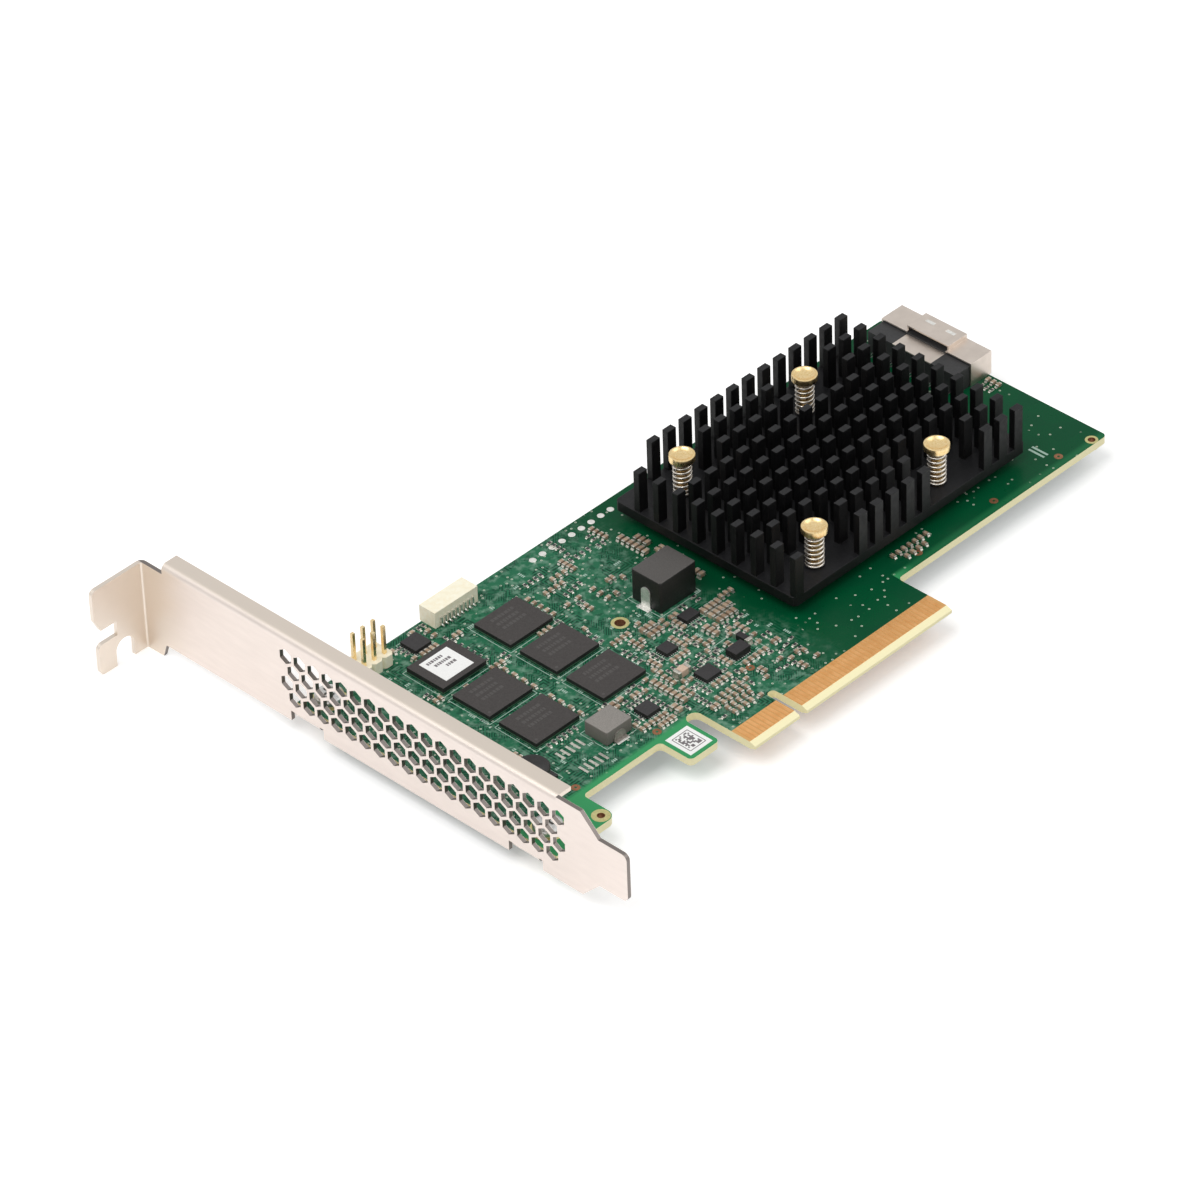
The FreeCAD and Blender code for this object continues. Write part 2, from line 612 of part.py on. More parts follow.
def build_circuit_board():
    """The board with its tongue, key slot, notch, label tab, ear and holes."""
    body = new_body("circuit_board")
    ear_right = board_left + ear_hole_inset + ear_radius
    ear_bottom = ear_hole_height - ear_radius
    tab_right = -tongue_front - slot_width
    tab_left = tab_right - label_tab_width
    tab_bottom = edge_height - label_tab_drop
    notch_top = edge_height + slot_rise
    key = key_width / 2
    sketch = new_sketch(body, "XY_Plane", 0)
    outline(sketch, [
        (board_left, ear_bottom),
        (ear_right, ear_bottom),
        (ear_right, edge_height),
        (tab_left, edge_height),
        (tab_left, tab_bottom),
        (tab_right, tab_bottom),
        (tab_right, notch_top),
        (-tongue_front, notch_top),
        (-tongue_front, 0),
        (-key, 0),
        (-key, key_depth),
        (key, key_depth),
        (key, 0),
        (tongue_rear, 0),
        (tongue_rear, edge_height),
        (board_rear, edge_height),
        (board_rear, board_height),
        (board_left, board_height),
    ])
    board = pad(body, sketch, board_thickness, True)
    board = round_edges(body, board, "z", [(ear_right, ear_bottom)], ear_radius)
    board = round_edges(body, board, "z", [(tab_right, notch_top), (-tongue_front, notch_top)],
                        slot_rounding)
    board = round_edges(body, board, "z", [(-key, key_depth), (key, key_depth)], key_rounding)
    board = round_edges(body, board, "z", [
        (ear_right, edge_height), (tab_left, edge_height), (tab_left, tab_bottom),
        (tab_right, tab_bottom), (tongue_rear, edge_height), (board_rear, edge_height),
        (board_rear, board_height)], corner_rounding)

    bevel = new_sketch(body, "YZ_Plane", -tongue_front - cut_margin)
    outline(bevel, [(0, 0), (0, -bevel_depth), (bevel_length, 0)])
    outline(bevel, [(0, under_board), (bevel_length, under_board),
                    (0, under_board + bevel_depth)])
    pocket(body, bevel, tongue_front + tongue_rear + cut_margin * 2, True)

    holes = new_sketch(body, "XY_Plane", cut_margin)
    for place in ear_screw_places():
        circle(holes, place[0], place[1], ear_screw_radius + screw_clearance)
    for place in spring_screw_places():
        circle(holes, place[0], place[1], spring_screw_radius + screw_clearance)
    for place in header_pin_places():
        ring_outline(holes, place, header_hole_radius, HEADER_HOLE_SIDES)
    circle(holes, board_left + ear_hole_inset, ear_hole_height, tooling_hole_radius)
    circle(holes, board_rear - rear_hole_inset, edge_height + rear_hole_rise,
           tooling_hole_radius)
    circle(holes, ground_hole_x, ground_hole_y, ground_hole_radius)
    pocket(body, holes, board_thickness + cut_margin * 2)
    return body


def build_edge_contacts(label, floor):
    """One side's gold contacts: a short row before the key slot and a long row after it."""
    body = new_body(label)
    tip = contact_start
    rows = ((-1, CONTACTS_BEFORE_KEY), (1, CONTACTS_AFTER_KEY))
    for side, count in rows:
        middle = key_to_contact * side
        sketch = new_sketch(body, "XY_Plane", floor)
        rectangle(sketch, (middle - contact_width / 2, tip),
                  (middle + contact_width / 2, tip + contact_length))
        first = pad(body, sketch, contact_thickness)
        pattern(body, first, ("X_Axis", contact_pitch, count, side < 0))
    return body


# ---------------------------------------------------------------- slot bracket

def fold_profile(sketch, corner, across, up, reach):
    """Section of a folded strip: a quarter bend from a wall, then a flat run.

    corner is the outside corner that the bend rounds off; across and up are 1 or -1 and say
    which way the flat run and the wall go from it; reach is the flat run's end from the corner.
    """
    x, z = corner
    turn = 1 if across * up > 0 else -1
    outline(sketch, [
        (x, z + fold_outer * up, fold_outer * turn),
        (x + fold_outer * across, z),
        (x + reach * across, z),
        (x + reach * across, z + sheet_metal * up),
        (x + fold_outer * across, z + sheet_metal * up, fold_radius * -turn),
        (x + sheet_metal * across, z + fold_outer * up),
    ])


def build_bracket():
    """Folded sheet-steel bracket: face, long flange, tab, two ears and the perforation."""
    body = new_body("bracket")

    # Face, with relief cuts beside each ear along its lower edge.
    corners = [
        (tip_height, face_low + taper),
        (shoulder_height - taper, face_low + taper),
        (shoulder_height, face_low),
    ]
    for middle in (ear_first, ear_first + ear_spacing):
        low = middle - ear_width / 2
        high = middle + ear_width / 2
        top = face_low + relief_rise
        corners += [
            (low - relief_width, face_low), (low - relief_width, top),
            (low, top), (low, ear_floor + fold_outer),
            (high, ear_floor + fold_outer), (high, top),
            (high + relief_width, top), (high + relief_width, face_low),
        ]
    bend_height = tab_height - fold_radius
    corners += [
        (neck_start, face_low),
        (neck_start + neck_slope, neck_low),
        (bend_height, neck_low),
        (bend_height, neck_high),
        (flange_high + sheet_metal, neck_high),
        (flange_high, neck_high),
        (flange_high, face_high - fold_outer),
        (flange_low, face_high - fold_outer),
        (flange_low, face_high),
        (shoulder_height, face_high),
        (shoulder_height - taper, face_high - taper),
        (tip_height, face_high - taper),
    ]
    face = new_sketch(body, "YZ_Plane", outer_face)
    outline(face, corners)
    plate = pad(body, face, sheet_metal)
    round_edges(body, plate, "x", [(tip_height, face_low + taper),
                                   (tip_height, face_high - taper)], tip_rounding)

    # Long flange, folded in over the board.
    flange = new_sketch(body, "XZ_Plane", -flange_high)
    fold_profile(flange, (outer_face, face_high), 1, -1, flange_width)
    pad(body, flange, flange_high - flange_low)

    # Ears, folded in under the board.
    for middle in (ear_first, ear_first + ear_spacing):
        ear = new_sketch(body, "XZ_Plane", -(middle + ear_width / 2))
        fold_profile(ear, (outer_face, ear_floor), 1, 1, ear_reach)
        pad(body, ear, ear_width)
    threads = new_sketch(body, "XY_Plane", under_board + cut_margin)
    for place in ear_screw_places():
        circle(threads, place[0], place[1], ear_screw_radius)
    pocket(body, threads, sheet_metal + cut_margin * 2)

    # Bend from the face to the tab.
    bend = new_sketch(body, "XY_Plane", neck_low)
    centre_x = outer_face - fold_radius
    outline(bend, [
        (inner_face, bend_height, fold_outer),
        (centre_x, tab_height + sheet_metal),
        (centre_x, tab_height, -fold_radius),
        (outer_face, bend_height),
    ])
    pad(body, bend, neck_high - neck_low)

    # Tab with its open screw slot, finger and guide notch.
    tab = new_sketch(body, "XZ_Plane", -(tab_height + sheet_metal))
    slot_near = outer_face - screw_slot_inset
    slot_far = slot_near - screw_slot_width
    slot_middle = slot_near - screw_slot_width / 2
    slot_top = neck_low + screw_slot_depth
    slot_shoulder = slot_top - screw_slot_width / 2
    finger = outer_face - tab_finger_reach
    outer = outer_face - tab_reach
    notch = outer_face - guide_notch_reach
    outline(tab, [
        (centre_x, neck_high),
        (outer, neck_high),
        (outer, guide_notch_high + tab_chamfer_rise),
        (outer + tab_chamfer, guide_notch_high),
        (notch, guide_notch_high),
        (notch, guide_notch_low),
        (finger, guide_notch_low),
        (finger, neck_low),
        (slot_far, neck_low),
        (slot_far, slot_shoulder, -screw_slot_width / 2),
        (slot_middle, slot_top, -screw_slot_width / 2),
        (slot_near, slot_shoulder),
        (slot_near, neck_low),
        (centre_x, neck_low),
    ])
    plate = pad(body, tab, sheet_metal)
    round_edges(body, plate, "y", [(finger, neck_low), (finger, guide_notch_low),
                                   (outer, neck_high)], tab_rounding)

    # Perforation: two long rows and two short ones, half a pitch apart.
    for row, count in enumerate((LONG_ROW, SHORT_ROW)):
        hole = new_sketch(body, "YZ_Plane", outer_face - cut_margin)
        middle_y = perforation_start + perforation_pitch * (0.5 * row)
        middle_z = face_high - perforation_top - perforation_row * row
        flat = perforation_width / 2
        point = perforation_width / math.sqrt(3)
        outline(hole, [
            (middle_y + flat, middle_z - point / 2), (middle_y + flat, middle_z + point / 2),
            (middle_y, middle_z + point), (middle_y - flat, middle_z + point / 2),
            (middle_y - flat, middle_z - point / 2), (middle_y, middle_z - point),
        ])
        first = pocket(body, hole, sheet_metal + cut_margin * 2, True)
        pattern(body, first, ("Y_Axis", perforation_pitch, count, False),
                ("Z_Axis", perforation_row * 2, 2, True))
    return body


def build_bracket_screws():
    """Two screws from the component side through the board into the ears."""
    body = new_body("bracket_screws")
    tail = ear_floor - ear_screw_tail
    screw = turned(body, ear_screw_places()[0], [
        (0, tail),
        (ear_screw_radius, tail),
        (ear_screw_radius, 0),
        (ear_screw_head, 0),
        (ear_screw_head, ear_screw_head_height),
        (0, ear_screw_head_height),
    ])
    pattern(body, screw, ("Y_Axis", ear_spacing, 2, False))
    return body


# ---------------------------------------------------------------- controller and heatsink

def build_controller():
    """Controller package, its lid and the thermal pad, in a stack below the heatsink."""
    centre = (chip_centre_x, chip_centre_y)
    centred_block("controller_package", centre, (chip_side, chip_side, chip_height), 0)
    centred_block("controller_lid", centre, (lid_side, lid_side, lid_height), chip_height)
    centred_block("thermal_pad", centre, (pad_side, pad_side, pad_height),
                  chip_height + lid_height)


def build_heatsink():
    """Cast pin-fin heatsink: base, a grid of pins, bare patches and four screw holes."""
    body = new_body("heatsink")
    left = sink_centre_x - sink_length / 2
    right = sink_centre_x + sink_length / 2
    low = sink_centre_y - sink_depth / 2
    high = sink_centre_y + sink_depth / 2
    base = new_sketch(body, "XY_Plane", sink_floor)
    rectangle(base, (left, low), (right, high))
    plate = pad(body, base, sink_base)
    round_edges(body, plate, "z", [(left, low), (left, high), (right, low), (right, high)],
                sink_rounding)

    # Grid of pins, a little off the base's middle along X.
    first_x = sink_centre_x + pin_grid_shift - pin_pitch_x * ((PINS_X - 1) / 2)
    first_y = sink_centre_y - pin_pitch_y * ((PINS_Y - 1) / 2)
    pin = new_sketch(body, "XY_Plane", sink_top)
    rectangle(pin, (first_x - pin_length / 2, first_y - pin_width / 2),
              (first_x + pin_length / 2, first_y + pin_width / 2))
    first = pad(body, pin, pin_height)
    pattern(body, first, ("X_Axis", pin_pitch_x, PINS_X, False),
            ("Y_Axis", pin_pitch_y, PINS_Y, False))

    # Patches left free of pins, counted in pins from the lower left one: round the four
    # spring screws and in the upper left corner.
    bare = new_sketch(body, "XY_Plane", sink_top)
    for column, last_column, row, last_row in PATCHES:
        rectangle(bare, (first_x + pin_pitch_x * (column - 0.5),
                         first_y + pin_pitch_y * (row - 0.5)),
                  (first_x + pin_pitch_x * (last_column + 0.5),
                   first_y + pin_pitch_y * (last_row + 0.5)))
    pocket(body, bare, pin_height + cut_margin, True)

    holes = new_sketch(body, "XY_Plane", sink_top + cut_margin)
    for place in spring_screw_places():
        circle(holes, place[0], place[1], spring_screw_radius + screw_clearance)
    pocket(body, holes, sink_base + cut_margin * 2)
    return body


def build_spring_screws():
    """Four dished-head screws through the heatsink and the board into the nuts."""
    body = new_body("spring_screws")
    tail = under_board - nut_height
    top = head_floor + spring_screw_head_height
    screw = turned(body, spring_screw_places()[0], [
        (0, tail),
        (spring_screw_radius, tail),
        (spring_screw_radius, head_floor),
        (spring_screw_head, head_floor),
        (spring_screw_head, top),
        (spring_screw_dish_radius, top),
        (0, top - spring_screw_dish),
    ])
    pattern(body, screw, ("X_Axis", spring_screw_span_x, 2, False),
            ("Y_Axis", spring_screw_span_y, 2, False))
    return body


def build_upright_tubes(label, floor, height, outer, inner, sides):
    """Four many-sided tubes round the spring screws, with round or many-sided bores."""
    body = new_body(label)
    place = spring_screw_places()[0]
    section = new_sketch(body, "XY_Plane", floor)
    ring_outline(section, place, outer, sides)
    if sides == NUT_SIDES:
        circle(section, place[0], place[1], inner)
    else:
        ring_outline(section, place, inner, sides)
    tube = pad(body, section, height)
    pattern(body, tube, ("X_Axis", spring_screw_span_x, 2, False),
            ("Y_Axis", spring_screw_span_y, 2, False))
    return body


def build_springs_and_nuts():
    """Spaces of the four wound springs, and the six-sided nuts on the back of the board."""
    build_upright_tubes("screw_springs", sink_top, spring_height, spring_outer,
                        spring_outer - spring_wire, SPRING_SIDES)
    build_upright_tubes("clinch_nuts", under_board - nut_height, nut_height, nut_radius,
                        spring_screw_radius, NUT_SIDES)


# ---------------------------------------------------------------- rear cable connector

def build_port_shell():
    """Formed metal shell round the connector's mouth, with its raised latch tunnel."""
    body = new_body("port_shell")
    tunnel_low = port_centre_y - tunnel_width / 2
    tunnel_high = port_centre_y + tunnel_width / 2
    shoulder = shell_height - shell_wall
    section = new_sketch(body, "YZ_Plane", shell_back)
    outline(section, [
        (port_low, 0), (port_low + shell_wall, 0), (port_low + shell_wall, shoulder),
        (tunnel_low + shell_wall, shoulder),
        (tunnel_low + shell_wall, shoulder + tunnel_height),
        (tunnel_high - shell_wall, shoulder + tunnel_height),
        (tunnel_high - shell_wall, shoulder),
        (port_high - shell_wall, shoulder), (port_high - shell_wall, 0), (port_high, 0),
        (port_high, shell_height), (tunnel_high, shell_height),
        (tunnel_high, shell_height + tunnel_height), (tunnel_low, shell_height + tunnel_height),
        (tunnel_low, shell_height), (port_low, shell_height),
    ])
    pad(body, section, shell_length)

    # The tunnel stops short of the shell's inner end.
    short = new_sketch(body, "XY_Plane", shell_height)
    rectangle(short, (shell_back - cut_margin, tunnel_low - cut_margin),
              (shell_back + tunnel_inset, tunnel_high + cut_margin))
    pocket(body, short, tunnel_height + cut_margin, True)

    windows = new_sketch(body, "XY_Plane", shell_height)
    for side in (-0.5, 0.5):
        middle = port_centre_y + latch_window_spacing * side
        end = shell_mouth - latch_window_inset
        rectangle(windows, (end - latch_window_length, middle - latch_window_width / 2),
                  (end, middle + latch_window_width / 2))
    pocket(body, windows, tunnel_height + cut_margin, True)
    return body


def build_port_insulator():
    """Black moulding that fills the shell, stepped down in the middle behind it."""
    body = new_body("port_insulator")
    low = port_low + shell_wall
    high = port_high - shell_wall
    top = shell_height - shell_wall
    plate_low = port_centre_y - plate_width / 2
    plate_high = port_centre_y + plate_width / 2
    plan = new_sketch(body, "XY_Plane", 0)
    rectangle(plan, (port_back, low), (shell_mouth - shell_wall, high))
    pad(body, plan, top)

    # The part behind the shell is lower, and lower again under the ground plate.
    step = new_sketch(body, "XY_Plane", insulator_height)
    rectangle(step, (port_back - cut_margin, low - cut_margin), (shell_back, high + cut_margin))
    pocket(body, step, top, True)
    trough = new_sketch(body, "XY_Plane", plate_height - plate_thickness)
    rectangle(trough, (port_back - cut_margin, plate_low), (shell_back, plate_high))
    pocket(body, trough, top, True)

    slot = new_sketch(body, "YZ_Plane", shell_mouth - shell_wall - mating_slot_depth)
    rectangle(slot, (low + mating_slot_margin, top / 2 - mating_slot_height / 2),
              (high - mating_slot_margin, top / 2 + mating_slot_height / 2))
    pocket(body, slot, mating_slot_depth + cut_margin, True)
    return body


def build_port_small_parts():
    """Ground plate behind the shell and the row of solder leads at the back."""
    block("port_ground_plate",
          (port_back, port_centre_y - plate_width / 2, plate_height - plate_thickness),
          (shell_back, port_centre_y + plate_width / 2, plate_height))
    body = new_body("port_leads")
    first_y = port_centre_y - lead_pitch * ((LEADS - 1) / 2)
    plan = new_sketch(body, "XY_Plane", 0)
    rectangle(plan, (port_back - lead_length, first_y - lead_width / 2),
              (port_back, first_y + lead_width / 2))
    first = pad(body, plan, lead_height)
    pattern(body, first, ("Y_Axis", lead_pitch, LEADS, False))


# ---------------------------------------------------------------- chips and labels

def build_memory():
    """Five memory chips and one flash chip in two columns, and the flash chip's label."""
    number = 0
    for column in (0, 1):
        for row in (0, 1, 2):
            centre = (memory_column - memory_column_gap * column,
                      memory_row + memory_row_gap * row)
            if column == 1 and row == 2:
                size = (memory_length, memory_width, flash_height)
                centred_block("flash_chip", centre, size, 0)
                size = (flash_label_length, flash_label_width, label_thickness)
                centred_block("flash_label", centre, size, flash_height)
            else:
                number += 1
                size = (memory_length, memory_width, memory_height)
                centred_block("memory_chip_{0}".format(number), centre, size, 0)


def build_tab_label():
    """Label on the board's small tab beside the edge contacts."""
    high_x = -tongue_front - slot_width - tab_label_margin
    low_x = high_x - label_tab_width + tab_label_margin * 2
    low_y = edge_height - label_tab_drop + tab_label_margin
    block("tab_label", (low_x, low_y, 0), (high_x, low_y + tab_label_height, label_thickness))


def build_small_chips():
    """Power, clock and sensing chips and the largest capacitor, each a plain package."""
    for label, centre, size in SMALL_CHIPS:
        centred_block(label, centre, size, 0)


# ---------------------------------------------------------------- header and cable socket

def build_header():
    """Two-by-three pin header: square pins through a base of chamfered cells."""
    pins = new_body("header_pins")
    x, y = header_pin_places()[0]
    half = header_pin_side / 2
    section = new_sketch(pins, "XY_Plane", under_board - header_tail)
    rectangle(section, (x - half, y - half), (x + half, y + half))
    first = pad(pins, section, header_pin_height + board_thickness + header_tail)
    pattern(pins, first, ("X_Axis", header_pitch, 3, False), ("Y_Axis", header_pitch, 2, False))

    base = new_body("header_base")
    cell = header_pitch / 2
    inner = cell - header_chamfer
    plan = new_sketch(base, "XY_Plane", 0)
    outline(plan, [
        (x - cell, y - inner), (x - inner, y - cell), (x + inner, y - cell),
        (x + cell, y - inner), (x + cell, y + header_pitch + inner),
        (x + inner, y + header_pitch + cell), (x - inner, y + header_pitch + cell),
        (x - cell, y + header_pitch + inner),
    ])
    first = pad(base, plan, header_base_height)
    pattern(base, first, ("X_Axis", header_pitch, 3, False))
    square = new_sketch(base, "XY_Plane", header_base_height + cut_margin)
    rectangle(square, (x - half, y - half), (x + half, y + half))
    first = pocket(base, square, header_base_height + cut_margin * 2)
    pattern(base, first, ("X_Axis", header_pitch, 3, False), ("Y_Axis", header_pitch, 2, False))


def build_cable_socket():
    """Side-entry cable socket on the top edge: housing open upwards and its pins."""
    top_y = board_height + socket_overhang
    back_y = top_y - socket_depth
    low_x = socket_centre_x - socket_length / 2
    high_x = socket_centre_x + socket_length / 2
    housing = new_body("socket_housing")
    plan = new_sketch(housing, "XY_Plane", 0)
    rectangle(plan, (low_x, back_y), (high_x, top_y))
    pad(housing, plan, socket_height)
    mouth = new_sketch(housing, "XZ_Plane", -(back_y + socket_wall * 2))
    rectangle(mouth, (low_x + socket_wall, socket_wall),
              (high_x - socket_wall, socket_height - socket_wall))
    pocket(housing, mouth, socket_depth)

    pins = new_body("socket_pins")
    first_x = socket_centre_x - socket_pin_pitch * ((SOCKET_PINS - 1) / 2)
    half = socket_pin_side / 2
    middle_z = socket_height / 2
    blade = new_sketch(pins, "YZ_Plane", first_x - half)
    outline(blade, [
        (back_y - socket_lead, 0), (back_y, 0), (back_y, middle_z - half),
        (top_y - socket_wall, middle_z - half), (top_y - socket_wall, middle_z + half),
        (back_y - socket_pin_side, middle_z + half), (back_y - socket_pin_side, socket_pin_side),
        (back_y - socket_lead, socket_pin_side),
    ])
    first = pad(pins, blade, socket_pin_side)
    pattern(pins, first, ("X_Axis", socket_pin_pitch, SOCKET_PINS, False))

    slots = new_sketch(housing, "XZ_Plane", -(back_y - cut_margin))
    rectangle(slots, (first_x - half, middle_z - half), (first_x + half, middle_z + half))
    first = pocket(housing, slots, cut_margin + socket_wall * 3)
    pattern(housing, first, ("X_Axis", socket_pin_pitch, SOCKET_PINS, False))


# ---------------------------------------------------------------- inductors

def build_inductor(label, centre, size, strap, ends):
    """A moulded inductor with a round-topped metal strap and foot at each end.

    strap is the strap's width and height; ends is "x" or "y", the way from end to end.
    """
    centred_block(label + "_core", centre, size, 0)
    body = new_body(label + "_terminals")
    along = 0 if ends == "x" else 1
    middle = as_size(centre[1 - along])
    half = as_size(strap[0]) / 2
    shoulder = as_size(strap[1]) - half
    for side in (-1, 1):
        face = as_size(centre[along]) + as_size(size[along]) / 2 * side
        low = face if side > 0 else face - strap_thickness
        if along == 0:
            upright = new_sketch(body, "YZ_Plane", low)
        else:
            upright = new_sketch(body, "XZ_Plane", -(low + strap_thickness))
        outline(upright, [
            (middle - half, 0), (middle + half, 0), (middle + half, shoulder, half),
            (middle, shoulder + half, half), (middle - half, shoulder),
        ])
        pad(body, upright, strap_thickness)
        foot = new_sketch(body, "XY_Plane", 0)
        near = face if side > 0 else face - strap_foot
        low_corner = [near, near]
        high_corner = [near + strap_foot, near + strap_foot]
        low_corner[1 - along] = middle - half
        high_corner[1 - along] = middle + half
        rectangle(foot, low_corner, high_corner)
        pad(body, foot, strap_thickness)


# ---------------------------------------------------------------- ceramic capacitors

def build_capacitors(label, floor, height, rows):
    """Rows of ceramic capacitors, each one a solid of its own."""
    body = new_body(label)
    for x, y, lies, runs, count in rows:
        size = (capacitor_length, capacitor_width)
        if lies == "y":
            size = (capacitor_width, capacitor_length)
        plan = new_sketch(body, "XY_Plane", floor)
        rectangle(plan, (x - size[0] / 2, y - size[1] / 2), (x + size[0] / 2, y + size[1] / 2))
        first = pad(body, plan, height)
        if count > 1:
            spacing = capacitor_end_pitch if lies == runs else capacitor_pitch
            pattern(body, first, (runs.upper() + "_Axis", spacing, count, False))


# ---------------------------------------------------------------- assembly

build_circuit_board()
build_edge_contacts("edge_contacts_front", 0)
build_edge_contacts("edge_contacts_back", under_board - contact_thickness)
build_bracket()
build_bracket_screws()
build_controller()
build_heatsink()
build_spring_screws()
build_springs_and_nuts()
build_port_shell()
build_port_insulator()
build_port_small_parts()
build_memory()
build_tab_label()
build_small_chips()
build_header()
build_cable_socket()
build_inductor("inductor", (inductor_x, inductor_y),
               (inductor_length, inductor_width, inductor_height),
               (strap_width, strap_height), "x")
build_inductor("choke", (choke_x, choke_y), (choke_length, choke_width, choke_height),
               (choke_strap_width, choke_strap_height), "y")
build_inductor("power_inductor", (power_inductor_x, power_inductor_y),
               (power_inductor_side, power_inductor_side, power_inductor_height),
               (choke_strap_width, choke_strap_height), "y")
build_capacitors("ceramic_capacitors", 0, capacitor_height, FRONT_ROWS)
build_capacitors("back_capacitors", under_board - back_capacitor_height, back_capacitor_height,
                 BACK_ROWS)
doc.recompute()

NODES = [
    "circuit_board", "edge_contacts_front", "edge_contacts_back", "bracket", "bracket_screws",
    "controller_package", "controller_lid", "thermal_pad", "heatsink", "spring_screws",
    "screw_springs", "clinch_nuts", "port_shell", "port_insulator", "port_ground_plate",
    "port_leads", "memory_chip_1", "memory_chip_2", "memory_chip_3", "memory_chip_4",
    "memory_chip_5", "flash_chip", "flash_label", "tab_label", "regulator_chip_1",
    "regulator_chip_2", "regulator_chip_3", "clock_chip", "monitor_chip", "power_stage",
    "header_pins", "header_base", "socket_housing", "socket_pins", "inductor_core",
    "inductor_terminals", "choke_core", "choke_terminals", "power_inductor_core",
    "power_inductor_terminals", "power_diode", "tantalum_capacitor", "ceramic_capacitors",
    "back_capacitors",
]

for item in doc.Objects:
    if "Invalid" in item.State or "Error" in item.State:
        raise RuntimeError("failed object: " + item.Name)
os.makedirs("parts", exist_ok=True)
for label in NODES:
    node = doc.getObjectsByLabel(label)[0]
    if node.Shape.isNull() or not node.Shape.isValid():
        raise RuntimeError("bad shape: " + label)
for label in NODES:
    node = doc.getObjectsByLabel(label)[0]
    node.Shape.exportStep("parts/{0}.step".format(label))
    box = node.Shape.BoundBox
    print(label, len(node.Shape.Solids), round(node.Shape.Volume, 3),
          [round(v, 2) for v in (box.XMin, box.XMax, box.YMin, box.YMax, box.ZMin, box.ZMax)])
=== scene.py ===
"""Looks of a low-profile storage controller card.

Everything is in metres in the frame of the CAD model: X runs from the slot bracket towards the
rear edge, Y from the tip of the edge contacts towards the top edge, Z out of the component face.
The CAD solids give the shapes and places; this script adds the finishes, the wound springs, the
detailed small parts, the printed marks and the studio.
"""

import json
import logging
import math
import random
from collections import defaultdict
from dataclasses import dataclass, field
from enum import Enum
from functools import lru_cache
from typing import ClassVar, Iterable, Sequence, Union

import bmesh
import bpy
from mathutils import Euler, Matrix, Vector

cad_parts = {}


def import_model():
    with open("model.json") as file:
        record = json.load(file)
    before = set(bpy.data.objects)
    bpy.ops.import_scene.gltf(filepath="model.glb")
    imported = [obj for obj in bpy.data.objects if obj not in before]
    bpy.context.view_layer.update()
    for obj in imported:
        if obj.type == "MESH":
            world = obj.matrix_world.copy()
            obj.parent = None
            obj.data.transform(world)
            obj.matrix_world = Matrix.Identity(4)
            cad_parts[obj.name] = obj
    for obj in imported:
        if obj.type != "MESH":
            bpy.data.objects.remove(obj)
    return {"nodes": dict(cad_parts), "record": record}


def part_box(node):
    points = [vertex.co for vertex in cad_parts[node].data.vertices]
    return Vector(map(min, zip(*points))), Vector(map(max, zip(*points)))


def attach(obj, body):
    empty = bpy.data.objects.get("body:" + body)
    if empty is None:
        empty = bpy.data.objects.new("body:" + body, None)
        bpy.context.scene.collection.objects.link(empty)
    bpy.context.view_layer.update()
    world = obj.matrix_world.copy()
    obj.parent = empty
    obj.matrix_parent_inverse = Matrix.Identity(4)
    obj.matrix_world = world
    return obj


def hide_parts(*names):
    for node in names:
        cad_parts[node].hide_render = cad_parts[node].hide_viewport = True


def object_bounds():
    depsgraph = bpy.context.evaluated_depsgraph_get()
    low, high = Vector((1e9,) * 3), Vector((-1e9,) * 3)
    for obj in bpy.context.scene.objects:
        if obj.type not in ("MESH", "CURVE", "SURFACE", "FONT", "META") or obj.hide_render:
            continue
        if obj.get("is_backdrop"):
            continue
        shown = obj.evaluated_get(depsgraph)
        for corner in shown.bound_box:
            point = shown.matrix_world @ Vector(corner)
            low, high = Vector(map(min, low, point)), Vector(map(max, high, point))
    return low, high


LOG = logging.getLogger("card")
MM = 0.001
Rectangle = tuple[float, float, float, float]
Point = Sequence[float]
Link = Union[bpy.types.Node, bpy.types.NodeSocket]
Value = Union[float, Sequence[float], Link]


# ------------------------------------------------------------------------------ nodes

def linear(code: str) -> tuple[float, float, float, float]:
    """Turn an sRGB hex colour into linear light.

    Args:
        code: six hex digits, with or without a leading hash.

    Returns:
        Red, green, blue and an alpha of one.
    """
    digits = code.lstrip("#")
    channels = [int(digits[place:place + 2], 16) / 255 for place in (0, 2, 4)]
    light = [c / 12.92 if c <= 0.04045 else ((c + 0.055) / 1.055) ** 2.4 for c in channels]
    return (light[0], light[1], light[2], 1.0)


def add_node(tree: bpy.types.NodeTree, kind: str, inputs: dict[Union[str, int], Value],
             **settings: object) -> bpy.types.Node:
    """Add one node with its settings and its inputs.

    Args:
        tree: the node tree it goes into.
        kind: the node's type.
        inputs: by name or number, a value, another node's output, or another node, which
            stands for its first output in use.
        settings: properties of the node itself.

    Returns:
        The new node.
    """
    node = tree.nodes.new(kind)
    for name, value in settings.items():
        setattr(node, name, value)
    for name, value in inputs.items():
        if isinstance(value, bpy.types.Node):
            value = next(output for output in value.outputs if output.enabled)
        if isinstance(value, bpy.types.NodeSocket):
            tree.links.new(value, node.inputs[name])
        else:
            node.inputs[name].default_value = value
    return node


# ------------------------------------------------------------------------------ finishes

@dataclass(frozen=True)
class Cloud:
    """An uneven pattern: the size of its features in millimetres, and how it is spread.

    Its noise counts as nothing up to start and as most from full on.
    """

    size: float
    detail: float
    start: float
    full: float
    most: float = 1.0


